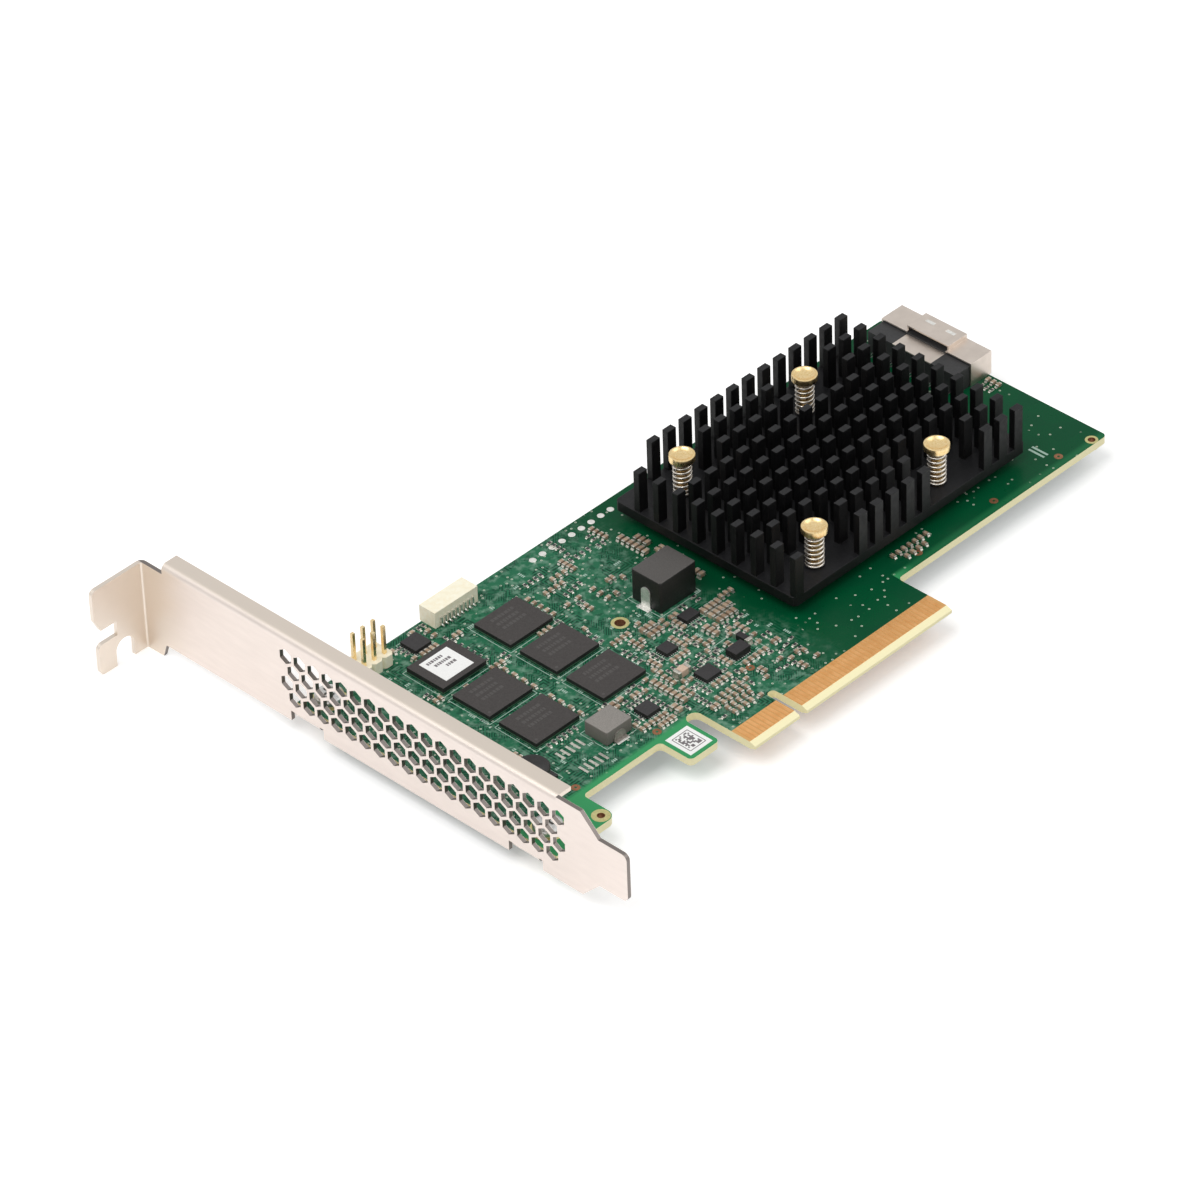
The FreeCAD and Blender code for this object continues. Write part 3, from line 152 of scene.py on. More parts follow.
@dataclass(frozen=True)
class Finish:
    """A material as it is made, with a fine grain that varies its colour, gloss and relief.

    Lengths are in millimetres. The grain is stretched by the three factors of stretch. Where
    side is set, it is the colour of the faces that stand upright: on most finishes a darker tone
    that is painted shade, on the resistors the white ceramic of their sides.
    """

    name: str
    colour: str
    shade: str
    roughness: float
    grain: float
    metallic: float = 0.0
    specular: float = 0.5
    swing: float = 0.08
    relief: float = 0.0
    stretch: tuple[float, float, float] = (1.0, 1.0, 1.0)
    rounding: float = 0.0
    # Colour of upright faces: painted shade on most finishes, real white ceramic on resistors.
    side: str = ""
    grain_range: ClassVar[tuple[float, float]] = (0.32, 0.68)
    gloss_range: ClassVar[tuple[float, float]] = (0.3, 0.7)
    gloss_width: ClassVar[float] = 3.0
    least_roughness: ClassVar[float] = 0.02

    def pattern(self, tree: bpy.types.NodeTree, place: Link, size: float,
                detail: float = 3.0) -> bpy.types.Node:
        """Make noise with features of a real size.

        Args:
            tree: the node tree.
            place: place on the card.
            size: size of the features in millimetres.
            detail: how many finer layers the noise has.

        Returns:
            A value between 0 and 1, mostly near a half.
        """
        mapping = add_node(tree, "ShaderNodeMapping", {"Vector": place, "Scale": self.stretch})
        return add_node(tree, "ShaderNodeTexNoise", {
            "Vector": mapping, "Scale": 1 / (size * MM), "Detail": detail})

    def upright(self, tree: bpy.types.NodeTree, limit: float = 0.7) -> Link:
        """Tell standing faces from lying ones.

        Args:
            tree: the node tree.
            limit: most that the upward part of a standing face's direction can be.

        Returns:
            1 on standing faces, else 0.
        """
        geometry = add_node(tree, "ShaderNodeNewGeometry", {})
        normal = add_node(tree, "ShaderNodeSeparateXYZ", {
            "Vector": geometry.outputs["True Normal"]}).outputs
        return add_node(tree, "ShaderNodeMath", {0: normal[2], 1: 0.0, 2: limit},
                        operation="COMPARE")

    def tint(self, tree: bpy.types.NodeTree, place: Link, grain: Link) -> Link:
        """Colour the surface: two colours mixed by the grain, and the sides' colour, which on
        most finishes is painted shade.

        Args:
            tree: the node tree.
            place: place on the card; not used.
            grain: value of the fine grain.

        Returns:
            The colour.
        """
        spread = add_node(tree, "ShaderNodeMapRange", {
            "Value": grain, "From Min": self.grain_range[0], "From Max": self.grain_range[1]})
        mixed = add_node(tree, "ShaderNodeMix", {
            "Factor": spread, "A": linear(self.colour), "B": linear(self.shade)},
            data_type="RGBA")
        if not self.side:
            return mixed
        # Upright faces take the side colour: painted shade on most finishes.
        return add_node(tree, "ShaderNodeMix", {
            "Factor": self.upright(tree), "A": mixed, "B": linear(self.side)},
            data_type="RGBA")

    def gloss(self, tree: bpy.types.NodeTree, place: Link) -> Link:
        """Cloud the roughness with a pattern wider than the grain.

        Args:
            tree: the node tree.
            place: place on the card.

        Returns:
            The roughness.
        """
        return add_node(tree, "ShaderNodeMapRange", {
            "Value": self.pattern(tree, place, self.grain * self.gloss_width),
            "From Min": self.gloss_range[0], "From Max": self.gloss_range[1],
            "To Min": max(self.roughness - self.swing, self.least_roughness),
            "To Max": min(self.roughness + self.swing, 1.0)})

    def build(self) -> bpy.types.Material:
        """Build the node tree.

        Returns:
            The finished material.
        """
        material = bpy.data.materials.new(self.name)
        material.use_nodes = True
        material.diffuse_color = linear(self.colour)
        tree = material.node_tree
        tree.nodes.clear()
        place = add_node(tree, "ShaderNodeTexCoord", {}).outputs["Object"]
        grain = self.pattern(tree, place, self.grain)
        inputs: dict[Union[str, int], Value] = {
            "Base Color": self.tint(tree, place, grain), "Roughness": self.gloss(tree, place),
            "Metallic": self.metallic, "Specular IOR Level": self.specular}
        relief: dict[Union[str, int], Value] = {
            "Height": grain, "Distance": self.relief * MM, "Strength": 1.0}
        if self.rounding > 0:
            soft = add_node(tree, "ShaderNodeBevel", {"Radius": self.rounding * MM}, samples=4)
            relief["Normal"] = soft
            inputs["Normal"] = soft
        if self.relief > 0:
            inputs["Normal"] = add_node(tree, "ShaderNodeBump", relief)
        shader = add_node(tree, "ShaderNodeBsdfPrincipled", inputs)
        add_node(tree, "ShaderNodeOutputMaterial", {"Surface": shader})
        return material


@lru_cache(maxsize=None)
def material_of(finish: Finish) -> bpy.types.Material:
    """The one material made from a finish."""
    return finish.build()


@dataclass(frozen=True)
class BoardFinish(Finish):
    """Glass-fibre laminate under green solder mask, moulded by etched copper.

    The mask is glossy and shows the copper below it as lighter lines and fields. The front part
    is densely wired; the rear part has an even copper plane. The cut edges and the lead-in bevel
    are bare laminate, and so are the narrow strips between the edge contacts. Along the outer
    edges no copper lies below the mask, so light comes through it. Places are in millimetres
    on the board.
    """

    haze: str = "#769a86"
    plane: str = "#004e2c"
    margin: str = "#3b965f"
    bare: str = "#fbf3c6"
    between: str = "#d6a468"
    via_rim: str = "#d6e0cc"
    via_hole: str = "#0a2a1c"
    # Where the outer margins, the contacts, the wired part and the copper plane begin and end.
    margin_top: float = 13.9
    margin_fade: float = 1.0
    rear_run: float = 5.0
    rear_margin: float = 0.25
    bare_top: float = 5.75
    bare_start: float = -12.7
    bare_end: float = 39.7
    wired_end: float = 13.0
    plane_start: float = 24.0
    plane_wave: float = 12.0
    plane_traces: float = 0.3
    # Etched lines, drawn wider apart than the real ones so that they show.
    trace_pitch: float = 0.62
    trace_edge: tuple[float, float] = (0.2, 0.27)
    cell: float = 7.0
    small_cell: float = 4.9
    turned_lines: Cloud = Cloud(11.0, 1.0, 0.47, 0.5)
    fields: Cloud = Cloud(7.0, 0.0, 0.52, 0.54)
    pale_clouds: Cloud = Cloud(1.4, 3.0, 0.47, 0.7, 0.75)
    dark_clouds: Cloud = Cloud(1.6, 3.0, 0.56, 0.64, 0.5)
    # Plated holes: pitch and radius, then shares of the radius and of the holes.
    via_pitch: float = 1.5
    via_radius: float = 0.2
    via_scatter: float = 0.75
    via_edge: float = 1.15
    via_bore: tuple[float, float] = (0.35, 0.6)
    via_rare: float = 0.75
    via_wired: float = -0.35
    via_groups: Cloud = Cloud(6.0, 1.0, 0.46, 0.5, 0.85)
    # A face whose direction's upward part is below this is a cut edge.
    cut_limit: float = 0.97

    def patches(self, tree: bpy.types.NodeTree, place: Link, cloud: Cloud) -> Link:
        """Lay a cloudy pattern over the board.

        Args:
            tree: the node tree.
            place: place on the board.
            cloud: the pattern.

        Returns:
            A value from 0 to the most that the pattern reaches.
        """
        return add_node(tree, "ShaderNodeMapRange", {
            "Value": self.pattern(tree, place, cloud.size, cloud.detail),
            "From Min": cloud.start, "From Max": cloud.full, "To Max": cloud.most})

    def traces(self, tree: bpy.types.NodeTree, place: Link, size: float, metric: str) -> Link:
        """Runs of parallel lines that turn at right or half-right angles.

        Args:
            tree: the node tree.
            place: place on the board.
            size: how far apart the middles of the runs are.
            metric: the cell pattern's measure, which sets the angle of the turns.

        Returns:
            A value that goes up and down across each line.
        """
        cells = add_node(tree, "ShaderNodeTexVoronoi", {
            "Vector": place, "Scale": 1 / (size * MM)}, distance=metric, feature="F1",
            voronoi_dimensions="2D")
        turns = add_node(tree, "ShaderNodeMath", {
            0: cells.outputs["Distance"], 1: size / self.trace_pitch}, operation="MULTIPLY")
        return add_node(tree, "ShaderNodeMath", {0: turns, 1: 0.5}, operation="PINGPONG")

    def etched(self, tree: bpy.types.NodeTree, place: Link) -> Link:
        """Find where copper lies under the mask, as a line or a field.

        Args:
            tree: the node tree.
            place: place on the board.

        Returns:
            1 over copper, else 0.
        """
        lines = add_node(tree, "ShaderNodeMix", {
            "Factor": self.patches(tree, place, self.turned_lines),
            "A": self.traces(tree, place, self.cell, "CHEBYCHEV"),
            "B": self.traces(tree, place, self.small_cell, "MANHATTAN")}, data_type="FLOAT")
        line = add_node(tree, "ShaderNodeMapRange", {
            "Value": lines, "From Min": self.trace_edge[0], "From Max": self.trace_edge[1]})
        return add_node(tree, "ShaderNodeMath", {
            0: line, 1: self.patches(tree, place, self.fields)}, operation="MAXIMUM")

    def with_vias(self, tree: bpy.types.NodeTree, place: Link, wired: Link, mask: Link) -> Link:
        """Plated through-holes in loose groups, over the mask's colour.

        Args:
            tree: the node tree.
            place: place on the board.
            wired: 1 where the board is densely wired.
            mask: the mask's colour.

        Returns:
            The colour with the holes in it.
        """
        dots = add_node(tree, "ShaderNodeTexVoronoi", {
            "Vector": place, "Scale": 1 / (self.via_pitch * MM),
            "Randomness": self.via_scatter}, feature="F1", voronoi_dimensions="2D")
        radius = self.via_radius / self.via_pitch
        disc = add_node(tree, "ShaderNodeMapRange", {
            "Value": dots.outputs["Distance"], "From Min": radius * self.via_edge,
            "From Max": radius})
        hollow = add_node(tree, "ShaderNodeMapRange", {
            "Value": dots.outputs["Distance"], "From Min": radius * self.via_bore[0],
            "From Max": radius * self.via_bore[1]})
        lot = add_node(tree, "ShaderNodeSeparateColor", {"Color": dots.outputs["Color"]})
        share = add_node(tree, "ShaderNodeMath", {
            0: wired, 1: self.via_wired, 2: self.via_rare}, operation="MULTIPLY_ADD")
        picked = add_node(tree, "ShaderNodeMath", {0: lot.outputs[0], 1: share},
                          operation="GREATER_THAN")
        shown = add_node(tree, "ShaderNodeMath", {
            0: picked, 1: self.patches(tree, place, self.via_groups)}, operation="MULTIPLY")
        shown = add_node(tree, "ShaderNodeMath", {0: shown, 1: disc}, operation="MULTIPLY")
        colour = add_node(tree, "ShaderNodeMix", {
            "Factor": hollow, "A": linear(self.via_hole), "B": linear(self.via_rim)},
            data_type="RGBA")
        return add_node(tree, "ShaderNodeMix", {"Factor": shown, "A": mask, "B": colour},
                        data_type="RGBA")

    def masked(self, tree: bpy.types.NodeTree, place: Link, x: Link) -> Link:
        """The mask's colour: busy and hazy in the wired part, deep and even over the plane.

        Args:
            tree: the node tree.
            place: place on the board.
            x: place along X.

        Returns:
            The colour.
        """
        wavy = add_node(tree, "ShaderNodeMath", {
            0: self.pattern(tree, place, self.plane_wave, 1.0), 1: self.plane_wave * MM, 2: x},
            operation="MULTIPLY_ADD")
        wired = add_node(tree, "ShaderNodeMapRange", {
            "Value": wavy, "From Min": self.plane_start * MM, "From Max": self.wired_end * MM})
        copper = self.etched(tree, place)
        busy = add_node(tree, "ShaderNodeMix", {
            "Factor": copper, "A": linear(self.shade), "B": linear(self.colour)},
            data_type="RGBA")
        for cloud, colour in ((self.pale_clouds, self.haze), (self.dark_clouds, self.shade)):
            busy = add_node(tree, "ShaderNodeMix", {
                "Factor": self.patches(tree, place, cloud), "A": busy, "B": linear(colour)},
                data_type="RGBA")
        faint = add_node(tree, "ShaderNodeMath", {0: copper, 1: self.plane_traces},
                         operation="MULTIPLY")
        even = add_node(tree, "ShaderNodeMix", {
            "Factor": faint, "A": linear(self.plane), "B": linear(self.shade)},
            data_type="RGBA")
        mask = add_node(tree, "ShaderNodeMix", {"Factor": wired, "A": even, "B": busy},
                        data_type="RGBA")
        return self.with_vias(tree, place, wired, mask)

    def tint(self, tree: bpy.types.NodeTree, place: Link, grain: Link) -> Link:
        """Colour the mask on the two faces, and bare laminate where the mask ends.

        Args:
            tree: the node tree.
            place: place on the board.
            grain: value of the fine grain, which the mask's own patterns stand in for; not used.

        Returns:
            The colour.
        """
        xyz = add_node(tree, "ShaderNodeSeparateXYZ", {"Vector": place}).outputs
        mask = self.masked(tree, place, xyz[0])
        inside = add_node(tree, "ShaderNodeMath", {
            0: xyz[0], 1: (self.bare_start + self.bare_end) / 2 * MM,
            2: (self.bare_end - self.bare_start) / 2 * MM}, operation="COMPARE")
        near_edge = add_node(tree, "ShaderNodeMapRange", {
            "Value": xyz[1], "From Min": (self.margin_top + self.margin_fade) * MM,
            "From Max": self.margin_top * MM})
        open_edge = add_node(tree, "ShaderNodeMath", {0: near_edge, 1: inside},
                             operation="SUBTRACT", use_clamp=True)
        rear = add_node(tree, "ShaderNodeMapRange", {
            "Value": xyz[0], "From Min": self.bare_end * MM,
            "From Max": (self.bare_end + self.rear_run) * MM, "To Min": 1.0,
            "To Max": self.rear_margin})
        open_edge = add_node(tree, "ShaderNodeMath", {0: open_edge, 1: rear},
                             operation="MULTIPLY")
        mask = add_node(tree, "ShaderNodeMix", {
            "Factor": open_edge, "A": mask, "B": linear(self.margin)}, data_type="RGBA")
        low = add_node(tree, "ShaderNodeMath", {0: xyz[1], 1: self.bare_top * MM},
                       operation="LESS_THAN")
        strip = add_node(tree, "ShaderNodeMath", {0: inside, 1: low}, operation="MULTIPLY")
        surface = add_node(tree, "ShaderNodeMix", {
            "Factor": strip, "A": mask, "B": linear(self.between)}, data_type="RGBA")
        return add_node(tree, "ShaderNodeMix", {
            "Factor": self.upright(tree, self.cut_limit), "A": surface,
            "B": linear(self.bare)},
            data_type="RGBA")


@dataclass(frozen=True)
class SheetFinish(Finish):
    """Plated sheet metal: bright face, with painted shade on the folds, tab, holes and edges.

    Punched holes and cut edges are painted darker as shade. The folded strips, and the face
    close to the bend, are painted a warmer, darker tone as shade. Places are in millimetres.
    """

    painted_hole_shade: str = "#857e7a"
    painted_fold_shade: str = "#e3d8cc"
    wall_middle: float = -58.62
    wall_half: float = 0.4
    across_limit: float = 0.3
    fold_range: tuple[float, float] = (0.9, 0.3)
    bend_start: float = 93.0
    bend_end: float = 104.5

    def cut_edge(self, tree: bpy.types.NodeTree, place: Link, normal_x: Link) -> Link:
        """Find the surfaces that cross the thickness of the upright face.

        Args:
            tree: the node tree.
            place: place on the bracket.
            normal_x: the part of the surface's direction along X.

        Returns:
            1 on cut edges and in punched holes, else 0.
        """
        x = add_node(tree, "ShaderNodeSeparateXYZ", {"Vector": place}).outputs[0]
        across = add_node(tree, "ShaderNodeMath", {0: normal_x, 1: 0.0, 2: self.across_limit},
                          operation="COMPARE")
        inside = add_node(tree, "ShaderNodeMath", {
            0: x, 1: self.wall_middle * MM, 2: self.wall_half * MM}, operation="COMPARE")
        return add_node(tree, "ShaderNodeMath", {0: across, 1: inside}, operation="MULTIPLY")

    def tint(self, tree: bpy.types.NodeTree, place: Link, grain: Link) -> Link:
        """Colour the plating, with painted shade on the folds, near the bend, on the cut edges
        and in the holes.

        Args:
            tree: the node tree.
            place: place on the bracket.
            grain: value of the fine grain.

        Returns:
            The colour.
        """
        geometry = add_node(tree, "ShaderNodeNewGeometry", {})
        normal_x = add_node(tree, "ShaderNodeSeparateXYZ", {
            "Vector": geometry.outputs["Normal"]}).outputs[0]
        turned = add_node(tree, "ShaderNodeMath", {0: normal_x}, operation="ABSOLUTE")
        fold = add_node(tree, "ShaderNodeMapRange", {
            "Value": turned, "From Min": self.fold_range[0], "From Max": self.fold_range[1]})
        y = add_node(tree, "ShaderNodeSeparateXYZ", {"Vector": place}).outputs[1]
        bend = add_node(tree, "ShaderNodeMapRange", {
            "Value": y, "From Min": self.bend_start * MM, "From Max": self.bend_end * MM},
            interpolation_type="SMOOTHSTEP")
        # The folds and the face near the bend are painted darker and warmer as shade.
        fold_and_bend_shade = add_node(tree, "ShaderNodeMath", {0: fold, 1: bend}, operation="MAXIMUM")
        plated = add_node(tree, "ShaderNodeMix", {
            "Factor": fold_and_bend_shade, "A": super().tint(tree, place, grain),
            "B": linear(self.painted_fold_shade)}, data_type="RGBA")
        # Cut edges and hole walls are painted darker as shade.
        return add_node(tree, "ShaderNodeMix", {
            "Factor": self.cut_edge(tree, place, normal_x), "A": plated,
            "B": linear(self.painted_hole_shade)}, data_type="RGBA")


@dataclass(frozen=True)
class PackageFinish(Finish):
    """Moulded chip package on its own thin green substrate, with shade painted near-black in the
    gap at the board.
    """

    substrate: str = "#3c6a4e"
    # Near-black band at the substrate's foot: painted shade under the package.
    painted_gap_shade: str = "#050605"
    seam: float = 0.42
    gap: float = 0.16

    def tint(self, tree: bpy.types.NodeTree, place: Link, grain: Link) -> Link:
        """Colour the moulding, the substrate below its seam, and the painted shade in the gap
        under both.

        Args:
            tree: the node tree.
            place: place on the card.
            grain: value of the fine grain.

        Returns:
            The colour.
        """
        height = add_node(tree, "ShaderNodeSeparateXYZ", {"Vector": place}).outputs[2]
        above = add_node(tree, "ShaderNodeMath", {0: height, 1: self.seam * MM},
                         operation="GREATER_THAN")
        above_gap_shade = add_node(tree, "ShaderNodeMath", {0: height, 1: self.gap * MM},
                            operation="GREATER_THAN")
        # Below the gap height the colour is painted shade, above it the substrate.
        low = add_node(tree, "ShaderNodeMix", {
            "Factor": above_gap_shade, "A": linear(self.painted_gap_shade), "B": linear(self.substrate)},
            data_type="RGBA")
        return add_node(tree, "ShaderNodeMix", {
            "Factor": above, "A": low, "B": super().tint(tree, place, grain)},
            data_type="RGBA")


# Solder mask over woven laminate: wet-looking green with copper showing through.
BOARD = BoardFinish("solder_mask_on_laminate", "#286a4c", "#0b3d2b", 0.32, 0.5, relief=0.004,
                    swing=0.05, specular=0.09)
# Hard gold over nickel, electroplated: warm, smooth, slightly cloudy.
GOLD = Finish("hard_gold_plating", "#f8bf80", "#ebae6c", 0.36, 1.6, metallic=1.0, relief=0.002)
# Flash gold on header pins: paler and brighter than the contacts.
PIN_GOLD = Finish("flash_gold_pin", "#fbe8bd", "#efd29a", 0.25, 0.5, metallic=1.0)
# Immersion gold on pads, seen through a little flux: pale yellow.
PAD_GOLD = Finish("immersion_gold_pad", "#d8cf96", "#c3bd84", 0.45, 0.5, metallic=1.0)
# Copper of hole walls and of bare spots, under clear lacquer: red-brown, half dull.
COPPER = Finish("lacquered_copper", "#a3714f", "#85583c", 0.45, 0.4, metallic=0.6)
# Cold-rolled steel, bright nickel plated: pale with a rosy cast and faint rolling lines.
BRACKET_STEEL = SheetFinish("nickel_plated_steel_sheet", "#e6dbd4", "#e2d7d0", 0.42, 0.9,
                            metallic=1.0, relief=0.0002, stretch=(1.0, 0.2, 1.0), swing=0.03)
# Zinc plated screws: cool silver with small tumbling marks.
SCREW_STEEL = Finish("zinc_plated_steel", "#d8d8d6", "#c3c2be", 0.32, 0.4, metallic=1.0,
                     relief=0.002)
# Turned brass: light gold with fine lathe marks.
BRASS = Finish("turned_brass", "#f7dfae", "#e8c88a", 0.3, 0.35, metallic=1.0, relief=0.0015,
               swing=0.05)
# Hard-drawn spring wire, nickel plated: bright silver.
SPRING_WIRE = Finish("plated_spring_wire", "#e2dcd4", "#c4bcb0", 0.28, 0.5, metallic=1.0)
# Die-cast aluminium, black anodised: near-black satin with a fine cast grain; the upright faces
# painted darker as shade.
BLACK_CASTING = Finish("black_anodised_casting", "#121214", "#1b1b1d", 0.5, 0.45,
                       specular=0.28, relief=0.01, rounding=0.18, side="#070708")
# Epoxy moulding compound: matt dark grey, faintly speckled; the sides painted darker as shade,
# with a painted shade band under the substrate.
PACKAGE = PackageFinish("epoxy_moulding_on_substrate", "#3f3b39", "#353130", 0.55, 0.22,
                        specular=0.4, relief=0.003, rounding=0.06, side="#1a1818")
# The same compound without a substrate, as on leadless and two-ended parts; the sides painted
# darker as shade.
MOULDING = Finish("epoxy_moulding", "#333132", "#292728", 0.5, 0.2, specular=0.4, relief=0.003,
                  rounding=0.06, side="#171516")
# Laminate that the controller chip is built on: dull dark green.
SUBSTRATE = Finish("package_substrate", "#2c4a3a", "#223c2f", 0.5, 0.6)
# Copper lid of the controller chip, nickel plated: even silver grey.
LID = Finish("nickel_plated_copper_lid", "#bfc0c2", "#a9abad", 0.35, 0.7, metallic=1.0)
# Filled silicone sheet: matt blue-grey, slightly grainy.
THERMAL_PAD = Finish("silicone_thermal_pad", "#8c939c", "#7c838c", 0.8, 0.3, relief=0.01)
# Copper alloy, dull tin-nickel plated: warm grey metal with soft reflections.
PORT_SHELL = Finish("tin_plated_copper_alloy", "#dcd1c7", "#d2c7bd", 0.38, 2.5, metallic=1.0,
                    swing=0.03, rounding=0.1)
# Liquid-crystal polymer, moulded: flat black with a slight sheen.
PORT_PLASTIC = Finish("moulded_polymer_black", "#262627", "#2e2e2f", 0.5, 0.3, relief=0.004,
                      rounding=0.08)
# Coated label paper: soft white.
PAPER = Finish("label_paper", "#f8f8f6", "#f0f0ee", 0.7, 0.2, relief=0.001)
# Nylon, moulded: warm cream with a soft sheen.
CREAM_NYLON = Finish("moulded_nylon_cream", "#fffae4", "#fbf2d6", 0.42, 0.8, relief=0.002,
                     rounding=0.12)
# Sintered ferrite: charcoal with open grain; the upright sides painted darker as shade.
FERRITE = Finish("sintered_ferrite", "#514e4b", "#454240", 0.5, 0.18, relief=0.012,
                 rounding=0.2, specular=0.5, side="#141312")
# Sintered ferrite of the low round inductor: almost black.
DARK_FERRITE = Finish("dark_ferrite", "#1d1b1b", "#151313", 0.38, 0.18, relief=0.01,
                      specular=0.5)
# Pressed iron powder, painted: light grey, grainy; the upright sides darker as painted shade.
IRON_POWDER = Finish("pressed_iron_powder", "#928d87", "#7d7974", 0.55, 0.16, relief=0.012,
                     rounding=0.15, side="#6f6a65")
# Tin-dipped terminals: bright, slightly wavy silver.
TIN = Finish("tin_dipped_metal", "#e6e6e3", "#cdcdc9", 0.3, 0.5, metallic=1.0, relief=0.006)
# Flat-rolled copper strap, tinned: silver that spreads the light widely.
STRAP = Finish("tinned_strap", "#f2f1ed", "#dcdbd6", 0.55, 0.5, metallic=1.0, relief=0.004)
# The same strap on the small choke, left dull: grey metal that hardly shines.
DULL_STRAP = Finish("dull_tinned_strap", "#a9a49d", "#95908a", 0.6, 0.5, metallic=1.0,
                    relief=0.004)
# Solder fillets and pads: dull silver-grey.
SOLDER = Finish("lead_free_solder", "#dddad1", "#b9b5aa", 0.45, 0.4, metallic=1.0,
                relief=0.004)
# Barium titanate ceramic, fired: each part a little different, beige to pinkish brown.
CERAMIC = Finish("fired_ceramic", "#8f7660", "#bfa890", 0.5, 2.4, swing=0.03)
# Moulded tantalum part: pinkish beige.
TANTALUM = Finish("moulded_tantalum", "#d8bfaa", "#c9ad97", 0.5, 0.3, relief=0.002)
# Resistor glaze: black and glossy over white ceramic.
GLAZE = Finish("resistor_glaze", "#232325", "#2e2e32", 0.35, 0.2, side="#cfccc0")
# Screen-printed epoxy ink over green: flat, thin, greenish white.
PRINT_WHITE = Finish("screen_printed_ink", "#b5cdbf", "#93b3a2", 0.7, 0.15)
# Thermal-printed bars on a label: soft dark grey.
PRINT_GREY = Finish("thermal_print", "#6b6668", "#7c7779", 0.75, 0.2)
# Laser marking on moulding compound: a little lighter than the package.
LASER = Finish("laser_marking", "#4c4947", "#454241", 0.65, 0.15)


# ------------------------------------------------------------------------------ shapes

class Maker:
    """Collects the geometry of one piece and turns it into an object that rides on the card."""

    def __init__(self, name: str) -> None:
        """Start an empty piece with a name."""
        self.name = name
        self.mesh = bmesh.new()

    def hull(self, corners: Iterable[Point]) -> None:
        """Add the closed convex shape round some points.

        Args:
            corners: the points, of which inner ones are left out.
        """
        shape = bmesh.new()
        bmesh.ops.convex_hull(shape, input=[shape.verts.new(corner) for corner in corners])
        kept = {v: self.mesh.verts.new(v.co) for v in shape.verts if v.link_faces}
        for face in shape.faces:
            self.mesh.faces.new([kept[v] for v in face.verts])
        shape.free()

    def box(self, low: Point, high: Point, rounding: float = 0.0) -> None:
        """Add a box with chamfered edges.

        Args:
            low: lowest corner.
            high: highest corner.
            rounding: width that the chamfer takes off each face.
        """
        corners = []
        for number in range(8):
            ends = [(low, high)[number >> axis & 1][axis] for axis in range(3)]
            inward = [rounding if ends[axis] == low[axis] else -rounding for axis in range(3)]
            for kept in range(3):
                corners.append([ends[axis] if axis == kept else ends[axis] + inward[axis]
                                for axis in range(3)])
        if rounding <= 0:
            corners = corners[::3]
        self.hull(corners)

    def block(self, low: Point, high: Point, radius: float, steps: int = 3) -> None:
        """Add a box whose edges are all rounded.

        Args:
            low: lowest corner.
            high: highest corner.
            radius: radius of the edges.
            steps: segments of each rounding.
        """
        corners = [[(low, high)[number >> axis & 1][axis] for axis in range(3)]
                   for number in range(8)]
        verts = [self.mesh.verts.new(corner) for corner in corners]
        faces = [self.mesh.faces.new([verts[n] for n in ring]) for ring in (
            (0, 2, 3, 1), (4, 5, 7, 6), (0, 1, 5, 4), (2, 6, 7, 3), (0, 4, 6, 2), (1, 3, 7, 5))]
        edges = list(dict.fromkeys(edge for face in faces for edge in face.edges))
        bmesh.ops.bevel(self.mesh, geom=edges, offset=radius, segments=steps, profile=0.5,
                        affect="EDGES")

    def plate(self, corners: Sequence[tuple[float, float]], height: float) -> None:
        """Add one flat face in the board's plane.

        Args:
            corners: the outline's points, anticlockwise seen from above.
            height: where it lies along Z.
        """
        self.mesh.faces.new([self.mesh.verts.new((x, y, height)) for x, y in corners])

    def lathe(self, centre: tuple[float, float], section: Sequence[tuple[float, float]],
              steps: int = 28) -> None:
        """Turn a half-section round a vertical axis.

        Args:
            centre: the axis's place on the board.
            section: radius and height of each point, from bottom to top on the outside.
            steps: sides of the turned shape.
        """
        rows = []
        for radius, height in section:
            if radius <= 0:
                rows.append([self.mesh.verts.new((centre[0], centre[1], height))])
                continue
            angles = [2 * math.pi * step / steps for step in range(steps)]
            rows.append([self.mesh.verts.new((centre[0] + radius * math.cos(a),
                                              centre[1] + radius * math.sin(a), height))
                         for a in angles])
        for row, after in zip(rows, rows[1:]):
            for step in range(steps):
                ring = [row[step % len(row)], row[(step + 1) % len(row)],
                        after[(step + 1) % len(after)], after[step % len(after)]]
                face = list(dict.fromkeys(ring))
                if len(face) > 2:
                    self.mesh.faces.new(face)

    def tube(self, path: Sequence[Vector], radius: float, sides: int = 8) -> None:
        """Add a round wire along a path, closed at both ends.

        Args:
            path: points along its middle.
            radius: half the wire's thickness.
            sides: sides of its section.
        """
        rings = []
        for place, point in enumerate(path):
            ahead = path[min(place + 1, len(path) - 1)] - path[max(place - 1, 0)]
            along = ahead.normalized()
            out = Vector((along.y, -along.x, 0)).normalized()
            up = along.cross(out)
            rings.append([self.mesh.verts.new(
                point + (out * math.cos(2 * math.pi * side / sides)
                         + up * math.sin(2 * math.pi * side / sides)) * radius)
                for side in range(sides)])
        for ring, after in zip(rings, rings[1:]):
            for side in range(sides):
                self.mesh.faces.new([ring[side], ring[(side + 1) % sides],
                                     after[(side + 1) % sides], after[side]])
        self.mesh.faces.new(rings[0])
        self.mesh.faces.new(rings[-1])

    def disc(self, centre: tuple[float, float], radius: float, height: float,
             steps: int = 16) -> None:
        """Add one flat round face.

        Args:
            centre: its middle on the board.
            radius: its radius.
            height: where it lies along Z.
            steps: sides of the circle.
        """
        angles = [2 * math.pi * step / steps for step in range(steps)]
        self.plate([(centre[0] + radius * math.cos(a), centre[1] + radius * math.sin(a))
                    for a in angles], height)

